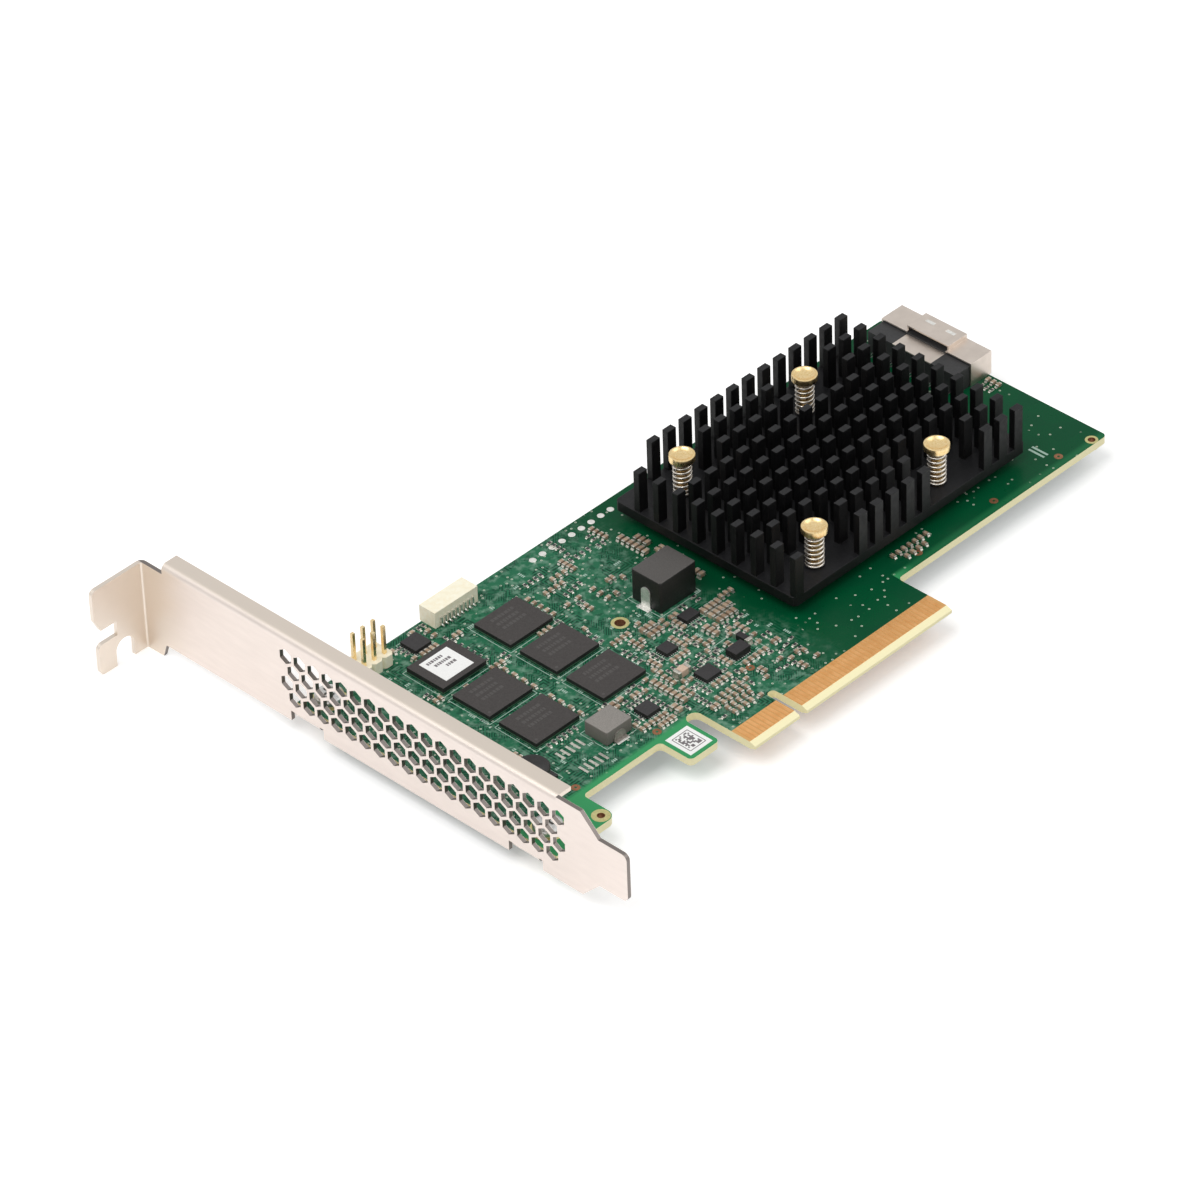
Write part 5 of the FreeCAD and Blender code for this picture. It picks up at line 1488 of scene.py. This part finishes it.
@dataclass
class Marks:
    """Printed outlines and ticks, laser marks on chips, and the bars printed on labels."""

    line: float = 0.16 * MM
    lift: float = 0.012 * MM
    margin: float = 0.55 * MM
    dot: float = 0.22 * MM
    wide_margin: float = 0.77 * MM
    seed: int = 7
    # Ticks in short rows, between the bracket and the heatsink.
    notes: int = 110
    notes_start: float = 8 * MM
    notes_end: float = -3.8 * MM
    notes_low: float = 15 * MM
    notes_top: float = 4 * MM
    upright: float = 0.4
    ticks: tuple[int, int] = (2, 4)
    tick: tuple[float, float] = (0.26 * MM, 0.62 * MM)
    tick_pitch: float = 0.42 * MM
    # The bars beside the heatsink's rear corner.
    bars: int = 2
    bar_start: float = 2.8 * MM
    bar_pitch: float = 1.0 * MM
    bar_width: float = 0.5 * MM
    bar_span: tuple[float, float] = (-1.98 * MM, 1.82 * MM)
    # Laser marks on the memory chips.
    mark_lift: float = 0.006 * MM
    chips: int = 5
    chip_dot: float = 0.3 * MM
    chip_dot_inset: float = 0.9 * MM
    chip_rows: int = 3
    chip_first: float = 2.2 * MM
    chip_start: float = 2.6 * MM
    chip_end: float = 3.0 * MM
    chip_print: SmallPrint = SmallPrint(0.35 * MM, 0.8 * MM, 0.75 * MM, 0.22 * MM, 1.5 * MM)
    # Rows on the flash chip's label: where each starts and ends from its left edge.
    label_rows: tuple[tuple[float, float], ...] = (
        (0.9 * MM, 4.6 * MM), (1.6 * MM, 4.9 * MM), (3.2 * MM, 5.2 * MM))
    label_first: float = 1.5 * MM
    label_print: SmallPrint = SmallPrint(0.3 * MM, 0.6 * MM, 0.7 * MM, 0.16 * MM, 1.35 * MM)
    # The framed block pattern on the tab's label.
    frame_inset: float = 0.85 * MM
    quiet: float = 0.4 * MM
    columns: int = 9
    rows: int = 11
    filled: float = 0.55
    outlined: tuple[str, ...] = (
        "memory_chip_1", "memory_chip_2", "memory_chip_3", "memory_chip_4", "memory_chip_5",
        "flash_chip", "inductor_core", "choke_core", "regulator_chip_1", "regulator_chip_2",
        "regulator_chip_3", "clock_chip", "monitor_chip", "power_inductor_core",
    )

    def bar(self, maker: Maker, low: tuple[float, float], high: tuple[float, float],
            height: float) -> None:
        """Add one flat bar between two corners at a height."""
        maker.plate([low, (high[0], low[1]), high, (low[0], high[1])], height)

    def words(self, maker: Maker, lot: random.Random, start: tuple[float, float], end: float,
              style: SmallPrint, height: float) -> None:
        """Add one row of bars of uneven length.

        Args:
            maker: the piece it belongs to.
            lot: where the lengths are drawn from.
            start: lower left corner of the first bar.
            end: the X that no further bar starts past.
            style: sizes of the bars.
            height: where the ink lies.
        """
        x, y = start
        while x < end:
            length = lot.uniform(style.shortest, style.longest)
            self.bar(maker, (x, y), (x + length, y + style.tall), height)
            x += length + style.gap

    def outline(self, maker: Maker, low: Vector, high: Vector, margin: float,
                height: float) -> None:
        """Add a closed rectangular outline round a box.

        Args:
            maker: the piece it belongs to.
            low: lowest corner of the box.
            high: highest corner of the box.
            margin: bare board between the box and the line.
            height: where the ink lies.
        """
        left, right = low.x - margin, high.x + margin
        lower, upper = low.y - margin, high.y + margin
        for y in (lower, upper):
            self.bar(maker, (left, y - self.line / 2), (right, y + self.line / 2), height)
        for x in (left, right):
            self.bar(maker, (x - self.line / 2, lower), (x + self.line / 2, upper), height)

    def outlines(self, maker: Maker, height: float) -> None:
        """Print an outline round each chip and inductor, with a dot at its first pin.

        Args:
            maker: the piece it belongs to.
            height: where the ink lies.
        """
        for name in self.outlined:
            low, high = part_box(name)
            self.outline(maker, low, high, self.margin, height)
            maker.disc((low.x - self.margin * 2, low.y - self.margin * 2), self.dot, height)
        low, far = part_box("power_stage")[0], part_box("power_diode")[1]
        self.outline(maker, low, far, self.wide_margin, height)

    def on_board(self) -> None:
        """Print the outlines, the short ticks and the bars on the front of the board."""
        maker = Maker("board_print")
        board_low, board_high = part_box("circuit_board")
        sink_low, sink_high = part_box("heatsink")
        top = board_high.z + self.lift
        self.outlines(maker, top)
        lot = random.Random(self.seed)
        for _ in range(self.notes):
            x = lot.uniform(board_low.x + self.notes_start, sink_low.x + self.notes_end)
            y = lot.uniform(board_low.y + self.notes_low, board_high.y - self.notes_top)
            upright = lot.random() < self.upright
            for place in range(lot.randint(*self.ticks)):
                shift = place * self.tick_pitch
                left, lower = (x, y + shift) if upright else (x + shift, y)
                wide, tall = self.tick[::-1] if upright else self.tick
                self.bar(maker, (left, lower), (left + wide, lower + tall), top)
        for place in range(self.bars):
            x = sink_high.x + self.bar_start + place * self.bar_pitch
            self.bar(maker, (x, sink_low.y + self.bar_span[0]),
                     (x + self.bar_width, sink_low.y + self.bar_span[1]), top)
        maker.build(PRINT_WHITE, "laminate")

    def on_chips(self) -> None:
        """Mark each memory chip with a dot and faint bars."""
        maker = Maker("chip_laser_marks")
        lot = random.Random(self.seed)
        for number in range(1, self.chips + 1):
            low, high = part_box("memory_chip_{0}".format(number))
            height = high.z + self.mark_lift
            maker.disc((low.x + self.chip_dot_inset, low.y + self.chip_dot_inset),
                       self.chip_dot, height)
            for row in range(self.chip_rows):
                y = high.y - self.chip_first - row * self.chip_print.pitch
                self.words(maker, lot, (low.x + self.chip_start, y), high.x - self.chip_end,
                           self.chip_print, height)
        maker.build(LASER, "package_black")

    def on_labels(self) -> None:
        """Print bars on the flash chip's label and a framed block pattern on the tab's."""
        maker = Maker("label_print")
        lot = random.Random(self.seed)
        low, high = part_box("flash_label")
        for row, (start, end) in enumerate(self.label_rows):
            y = high.y - self.label_first - row * self.label_print.pitch
            self.words(maker, lot, (low.x + start, y), low.x + end, self.label_print,
                       high.z + self.lift)
        low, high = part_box("tab_label")
        height = high.z + self.lift
        inset = Vector((self.frame_inset, self.frame_inset, 0))
        low, high = low + inset, high - inset
        self.outline(maker, low, high, 0.0, height)
        cell = (high.x - low.x - self.quiet * 2) / self.columns
        for column in range(self.columns):
            for row in range(self.rows):
                if lot.random() < self.filled:
                    x = low.x + self.quiet + column * cell
                    y = low.y + self.quiet + row * cell
                    self.bar(maker, (x, y), (x + cell, y + cell), height)
        maker.build(PRINT_GREY, "label_paper")

    def make(self) -> None:
        """Make all the marks."""
        self.on_board()
        self.on_chips()
        self.on_labels()


@dataclass
class Pads:
    """Plated rings, bare pads, spare header holes, chip lands and solder on the back."""

    thick: float = 0.02 * MM
    # Rings round the bores by the name of the mount, and round the ears' screws.
    rings: dict[str, float] = field(default_factory=lambda: {
        "ear_hole": 1.75 * MM, "rear_hole": 1.25 * MM, "ground_hole": 1.7 * MM})
    wall: float = 0.04 * MM
    ear_ring: tuple[float, float] = (1.7 * MM, 3.3 * MM)
    # Spare header holes filled with solder, measured from the board's rear and top edges.
    spare_reach: float = 77.7 * MM
    spare_inset: float = 2.5 * MM
    spare_pitch: float = 2.56 * MM
    spare_count: int = 9
    # Solder in a spare hole: radius, and height in thicknesses of the pad.
    joint: tuple[tuple[float, float], ...] = (
        (0.0, 0.0), (0.7 * MM, 0.0), (0.65 * MM, 1.0), (0.4 * MM, 1.5), (0.0, 0.5))
    sides: int = 20
    # Bare copper spots along the lower edge, measured from the rear edge.
    spots: tuple[float, ...] = (
        140.0 * MM, 119.3 * MM, 95.1 * MM, 50.1 * MM, 29.2 * MM, 11.0 * MM)
    spot_rise: float = 15.4 * MM
    spot_ring: tuple[float, float] = (0.25 * MM, 0.85 * MM)
    # Bare lands for a chip that isn't fitted: two rows behind the flat inductor, measured from
    # its upper rear corner.
    bare_rows: tuple[float, float] = (-3.5 * MM, -9.2 * MM)
    bare_count: int = 5
    bare_start: float = 4.5 * MM
    bare_pitch: float = 1.27 * MM
    bare_half: float = 0.27 * MM
    bare_reach: tuple[float, float] = (-0.1 * MM, 2.2 * MM)
    bare_edge: float = 0.005 * MM
    # Soldered lands of the leadless chips, from just under the chip's edge outwards.
    leadless: tuple[str, ...] = (
        "regulator_chip_1", "regulator_chip_2", "regulator_chip_3", "clock_chip",
        "monitor_chip", "power_stage",
    )
    land: tuple[float, float] = (-0.05 * MM, 0.26 * MM)
    land_half: float = 0.12 * MM
    land_rise: float = 0.16 * MM
    land_edge: float = 0.04 * MM
    land_pitch: float = 0.5 * MM
    # Solder bars beside the terminals of the moulded inductors.
    foot: tuple[float, float] = (0.05 * MM, 1.2 * MM)
    foot_half: float = 1.5 * MM
    foot_rise: float = 0.14 * MM
    foot_edge: float = 0.05 * MM
    # Solder cones under the header: radius, and how far below the board.
    cone: tuple[tuple[float, float], ...] = (
        (0.0, 0.75 * MM), (0.4 * MM, 0.7 * MM), (0.55 * MM, 0.35 * MM), (0.95 * MM, 0.0),
        (0.0, 0.0))

    def bores(self, record: dict) -> None:
        """Ring and plate every bore of the board, and ring the ear screws.

        Args:
            record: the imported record.
        """
        maker = Maker("plated_rings")
        barrels = Maker("plated_barrels")
        low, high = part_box("circuit_board")
        for mount in record["mounts"]:
            if mount["kind"] == "bore":
                centre = mount["pos_m"][0], mount["pos_m"][1]
                radius = mount["dims"]["r_mm"] * MM
                for height in (high.z, low.z - self.thick):
                    maker.ring(centre, radius, self.rings[mount["name"]], height, self.thick)
                barrels.ring(centre, radius - self.wall, radius, low.z, high.z - low.z)
        for screw_low, screw_high in solids("bracket_screws"):
            middle = (screw_low + screw_high) / 2
            maker.ring((middle.x, middle.y), *self.ear_ring, high.z, self.thick)
        maker.build(PAD_GOLD, "contact_gold")
        barrels.build(COPPER, "contact_gold", smooth=30)

    def spares(self) -> None:
        """Fill the row of spare header holes with solder on both faces."""
        maker = Maker("spare_header_joints")
        low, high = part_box("circuit_board")
        for place in range(self.spare_count):
            x = high.x - self.spare_reach - place * self.spare_pitch
            for height, rise in ((high.z, self.thick), (low.z, -self.thick)):
                maker.lathe((x, high.y - self.spare_inset), [
                    (radius, height + rise * share) for radius, share in self.joint], self.sides)
        maker.build(STRAP, "terminal_tin", smooth=40)

    def copper_spots(self) -> None:
        """Lay the bare copper spots on the front."""
        maker = Maker("copper_spots")
        low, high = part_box("circuit_board")
        for reach in self.spots:
            maker.ring((high.x - reach, low.y + self.spot_rise), *self.spot_ring, high.z,
                       self.thick)
        maker.build(COPPER, "contact_gold")

    def bare_lands(self) -> None:
        """Lay two rows of bare lands for a chip that isn't fitted."""
        maker = Maker("bare_lands")
        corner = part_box("power_inductor_core")[1]
        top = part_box("circuit_board")[1].z
        for row in self.bare_rows:
            for place in range(self.bare_count):
                x = corner.x + self.bare_start + place * self.bare_pitch
                y = corner.y + row
                maker.box((x - self.bare_half, y + self.bare_reach[0], top),
                          (x + self.bare_half, y + self.bare_reach[1], top + self.thick),
                          self.bare_edge)
        maker.build(SOLDER, "terminal_tin")

    def beside(self, maker: Maker, name: str, along: int, middle: float, half: float,
               reach: tuple[float, float], rise: float, rounding: float) -> None:
        """Add two low bars of solder, one beside each of two opposite edges of a part.

        Args:
            maker: the piece they belong to.
            name: the part's CAD node.
            along: axis that the two edges run along, 0 for X and 1 for Y.
            middle: place of the bars' middles along the edges.
            half: half the bars' width along the edges.
            reach: how far outside its edge each bar starts and ends.
            rise: height of the bars over the board.
            rounding: width of their chamfers.
        """
        low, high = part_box(name)
        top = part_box("circuit_board")[1].z
        across = 1 - along
        for edge, side in ((low[across], -1), (high[across], 1)):
            near, far = sorted((edge + side * reach[0], edge + side * reach[1]))
            start, end = [0.0, 0.0, top], [0.0, 0.0, top + rise]
            start[along], end[along] = middle - half, middle + half
            start[across], end[across] = near, far
            maker.box(start, end, rounding)

    def chip_lands(self) -> None:
        """Lay soldered lands round the leadless chips."""
        maker = Maker("chip_lands")
        for name in self.leadless:
            low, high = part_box(name)
            for along in (0, 1):
                room = high[along] - low[along] - self.land_pitch
                count = int(room / self.land_pitch) + 1
                first = (low[along] + high[along]) / 2 - (count - 1) * self.land_pitch / 2
                for place in range(count):
                    self.beside(maker, name, along, first + place * self.land_pitch,
                                self.land_half, self.land, self.land_rise, self.land_edge)
        maker.build(TIN, "terminal_tin")

    def feet(self) -> None:
        """Lay solder bars on the board beside the two moulded inductors' terminals."""
        maker = Maker("inductor_feet")
        for name, along in (("choke_core", 0), ("inductor_core", 1)):
            low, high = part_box(name)
            self.beside(maker, name, along, (low[along] + high[along]) / 2, self.foot_half,
                        self.foot, self.foot_rise, self.foot_edge)
        maker.build(STRAP, "terminal_tin")

    def solder(self) -> None:
        """Put solder cones round the header's tails on the back of the board."""
        maker = Maker("header_solder")
        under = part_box("circuit_board")[0].z
        for low, high in solids("header_pins"):
            middle = (low + high) / 2
            maker.lathe((middle.x, middle.y), [
                (radius, under - drop) for radius, drop in self.cone], self.sides)
        maker.build(TIN, "terminal_tin", smooth=60)

    def make(self, record: dict) -> None:
        """Make all pads, lands and solder.

        Args:
            record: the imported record.
        """
        self.bores(record)
        self.spares()
        self.copper_spots()
        self.bare_lands()
        self.chip_lands()
        self.feet()
        self.solder()


@dataclass
class PortDetails:
    """Bright latch springs behind the windows of the cable connector's shell."""

    window: float = 2.2 * MM
    spacing: float = 5.1 * MM
    length: float = 0.9 * MM
    inset: float = 1.2 * MM
    sunk: float = 0.06 * MM
    lap: float = 0.2 * MM
    thick: float = 0.1 * MM
    edge: float = 0.03 * MM

    def make(self) -> None:
        """Put a leaf, a little larger than the window, below each window."""
        low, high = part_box("port_shell")
        maker = Maker("latch_leaves")
        middle = (low.y + high.y) / 2
        half = self.window / 2 + self.lap
        top = high.z - self.sunk
        end = high.x - self.inset + self.lap
        start = high.x - self.inset - self.length - self.lap
        for y in (middle - self.spacing / 2, middle + self.spacing / 2):
            maker.box((start, y - half, top - self.thick), (end, y + half, top), self.edge)
        maker.build(STRAP, "port_steel")


# What each CAD solid is made of. Those that aren't listed are moulded chip packages.
FINISHES: dict[str, Finish] = {
    "circuit_board": BOARD,
    "edge_contacts_front": GOLD,
    "edge_contacts_back": GOLD,
    "bracket": BRACKET_STEEL,
    "bracket_screws": SCREW_STEEL,
    "controller_package": SUBSTRATE,
    "controller_lid": LID,
    "thermal_pad": THERMAL_PAD,
    "heatsink": BLACK_CASTING,
    "spring_screws": BRASS,
    "screw_springs": SPRING_WIRE,
    "clinch_nuts": BRASS,
    "port_shell": PORT_SHELL,
    "port_insulator": PORT_PLASTIC,
    "port_ground_plate": PORT_SHELL,
    "port_leads": TIN,
    "flash_label": PAPER,
    "tab_label": PAPER,
    "header_pins": PIN_GOLD,
    "header_base": CREAM_NYLON,
    "socket_housing": CREAM_NYLON,
    "socket_pins": TIN,
    "inductor_core": FERRITE,
    "inductor_terminals": STRAP,
    "choke_core": IRON_POWDER,
    "choke_terminals": DULL_STRAP,
    "power_inductor_core": DARK_FERRITE,
    "power_inductor_terminals": STRAP,
    "regulator_chip_1": MOULDING,
    "regulator_chip_2": MOULDING,
    "regulator_chip_3": MOULDING,
    "clock_chip": MOULDING,
    "monitor_chip": MOULDING,
    "power_stage": MOULDING,
    "power_diode": MOULDING,
    "tantalum_capacitor": TANTALUM,
    "ceramic_capacitors": CERAMIC,
    "back_capacitors": CERAMIC,
}


@dataclass
class Card:
    """The whole card: finishes on the CAD solids and the pieces added to them.

    The CAD nodes that stand on each face of the board keep their places free of fine parts.
    """

    nodes: dict[str, bpy.types.Object]
    record: dict
    on_front: tuple[str, ...] = (
        "memory_chip_1", "memory_chip_2", "memory_chip_3", "memory_chip_4", "memory_chip_5",
        "flash_chip", "heatsink", "port_insulator", "port_leads", "inductor_core",
        "choke_core", "power_inductor_core", "regulator_chip_1", "regulator_chip_2",
        "regulator_chip_3", "clock_chip", "monitor_chip", "power_stage", "power_diode",
        "tantalum_capacitor", "ceramic_capacitors", "header_base", "socket_housing",
        "tab_label", "edge_contacts_front", "bracket_screws",
    )
    on_back: tuple[str, ...] = (
        "clinch_nuts", "back_capacitors", "header_pins", "bracket_screws",
        "edge_contacts_back",
    )
    springs: Springs = field(default_factory=Springs)
    spring_screws: SpringScrews = field(default_factory=SpringScrews)
    bracket_screws: BracketScrews = field(default_factory=BracketScrews)
    inductors: Inductors = field(default_factory=Inductors)
    marks: Marks = field(default_factory=Marks)
    pads: Pads = field(default_factory=Pads)
    port: PortDetails = field(default_factory=PortDetails)

    def dress(self) -> None:
        """Give every CAD solid its finish."""
        for name, node in self.nodes.items():
            dress(node, FINISHES.get(name, PACKAGE))

    def make(self) -> None:
        """Build the added pieces in order."""
        self.springs.make()
        self.spring_screws.make()
        self.bracket_screws.make()
        self.inductors.make()
        front, back = Room(), Room()
        front.survey(self.on_front, self.record)
        back.survey(self.on_back, self.record)
        SmallParts(front, back).make()
        self.pads.make(self.record)
        self.marks.make()
        self.port.make()


# ------------------------------------------------------------------------------ studio

@dataclass(frozen=True)
class Softbox:
    """A large square lamp aimed at a point on the card."""

    name: str
    place: tuple[float, float, float]
    side: float
    power: float

    def make(self, aim: Vector) -> None:
        """Hang the lamp and turn it towards the card.

        Args:
            aim: the point that it faces.
        """
        data = bpy.data.lights.new(self.name, "AREA")
        data.shape = "SQUARE"
        data.size = self.side
        data.energy = self.power
        lamp = bpy.data.objects.new(self.name, data)
        bpy.context.scene.collection.objects.link(lamp)
        lamp.location = self.place
        lamp.rotation_euler = (aim - lamp.location).to_track_quat("-Z", "Y").to_euler()


@dataclass
class Studio:
    """Plain pale floor, soft lamps, an even sky and the camera.

    The floor has one tone for the light it gives the card and another for the eye, to which it
    also glows by its lift, so that it looks white and keeps the soft shadow.
    """

    lens: float = 203.47
    eye: tuple[float, float, float] = (-0.68506, -0.63497, 0.75034)
    turn: tuple[float, float, float] = (52.188, 1.671, -46.310)
    floor_side: float = 6.0
    floor_tone: str = "#d8d8d8"
    floor_seen: str = "#ffffff"
    floor_lift: float = 0.26
    sky: float = 0.62
    lamps: tuple[Softbox, ...] = (
        Softbox("key_softbox", (-0.5, 0.1, 0.9), 0.7, 5.0),
        Softbox("fill_softbox", (0.5, -0.6, 0.8), 0.9, 3.0),
    )

    def camera(self) -> None:
        """Place the camera."""
        data = bpy.data.cameras.new("camera")
        data.lens = self.lens
        data.sensor_width = 36.0
        data.clip_start = 0.01
        data.clip_end = 20.0
        camera = bpy.data.objects.new("camera", data)
        bpy.context.scene.collection.objects.link(camera)
        camera.location = self.eye
        camera.rotation_euler = Euler([math.radians(angle) for angle in self.turn])
        bpy.context.scene.camera = camera

    def floor(self, height: float) -> None:
        """Lay the floor.

        Args:
            height: where it lies along Z.
        """
        maker = bmesh.new()
        bmesh.ops.create_grid(maker, x_segments=1, y_segments=1, size=self.floor_side / 2)
        data = bpy.data.meshes.new("floor")
        maker.to_mesh(data)
        maker.free()
        floor = bpy.data.objects.new("floor", data)
        floor.location.z = height
        bpy.context.scene.collection.objects.link(floor)
        floor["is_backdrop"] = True
        material = bpy.data.materials.new("matt_paper_floor")
        material.use_nodes = True
        tree = material.node_tree
        tree.nodes.clear()
        seen = self.seen(tree)
        colour = add_node(tree, "ShaderNodeMix", {
            "Factor": seen, "A": linear(self.floor_tone), "B": linear(self.floor_seen)},
            data_type="RGBA")
        matt = add_node(tree, "ShaderNodeBsdfDiffuse", {"Color": colour})
        lift = add_node(tree, "ShaderNodeMath", {0: seen, 1: self.floor_lift},
                        operation="MULTIPLY")
        glow = add_node(tree, "ShaderNodeEmission", {"Strength": lift})
        both = add_node(tree, "ShaderNodeAddShader", {0: matt, 1: glow})
        add_node(tree, "ShaderNodeOutputMaterial", {"Surface": both})
        data.materials.append(material)

    def seen(self, tree: bpy.types.NodeTree) -> Link:
        """Tell what the camera sees, directly, in a reflection or through glass.

        Args:
            tree: the node tree.

        Returns:
            1 for what it sees, else 0.
        """
        path = add_node(tree, "ShaderNodeLightPath", {}).outputs
        indirect = add_node(tree, "ShaderNodeMath", {
            0: path["Is Glossy Ray"], 1: path["Is Transmission Ray"]}, operation="MAXIMUM")
        return add_node(tree, "ShaderNodeMath", {0: path["Is Camera Ray"], 1: indirect},
                        operation="MAXIMUM")

    def world(self) -> None:
        """Light everything with an even sky that looks white in the background."""
        world = bpy.data.worlds.new("white_room")
        bpy.context.scene.world = world
        world.use_nodes = True
        tree = world.node_tree
        tree.nodes.clear()
        strength = add_node(tree, "ShaderNodeMapRange", {
            "Value": self.seen(tree), "To Min": self.sky, "To Max": 1.0})
        sky = add_node(tree, "ShaderNodeBackground", {"Strength": strength})
        add_node(tree, "ShaderNodeOutputWorld", {"Surface": sky})

    def make(self, low: Vector, high: Vector) -> None:
        """Build the studio round the card.

        Args:
            low: lowest corner of the card.
            high: highest corner of the card.
        """
        bpy.context.scene.view_settings.view_transform = "Standard"
        self.camera()
        self.floor(low.z)
        self.world()
        for lamp in self.lamps:
            lamp.make((low + high) / 2)


def main() -> None:
    """Load the frame, dress it, add the pieces and build the studio."""
    logging.basicConfig(level=logging.INFO, format="%(message)s")
    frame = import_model()
    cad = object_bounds()
    card = Card(frame["nodes"], frame["record"])
    card.dress()
    card.make()
    Studio().make(*cad)


if __name__ == "__main__":
    main()
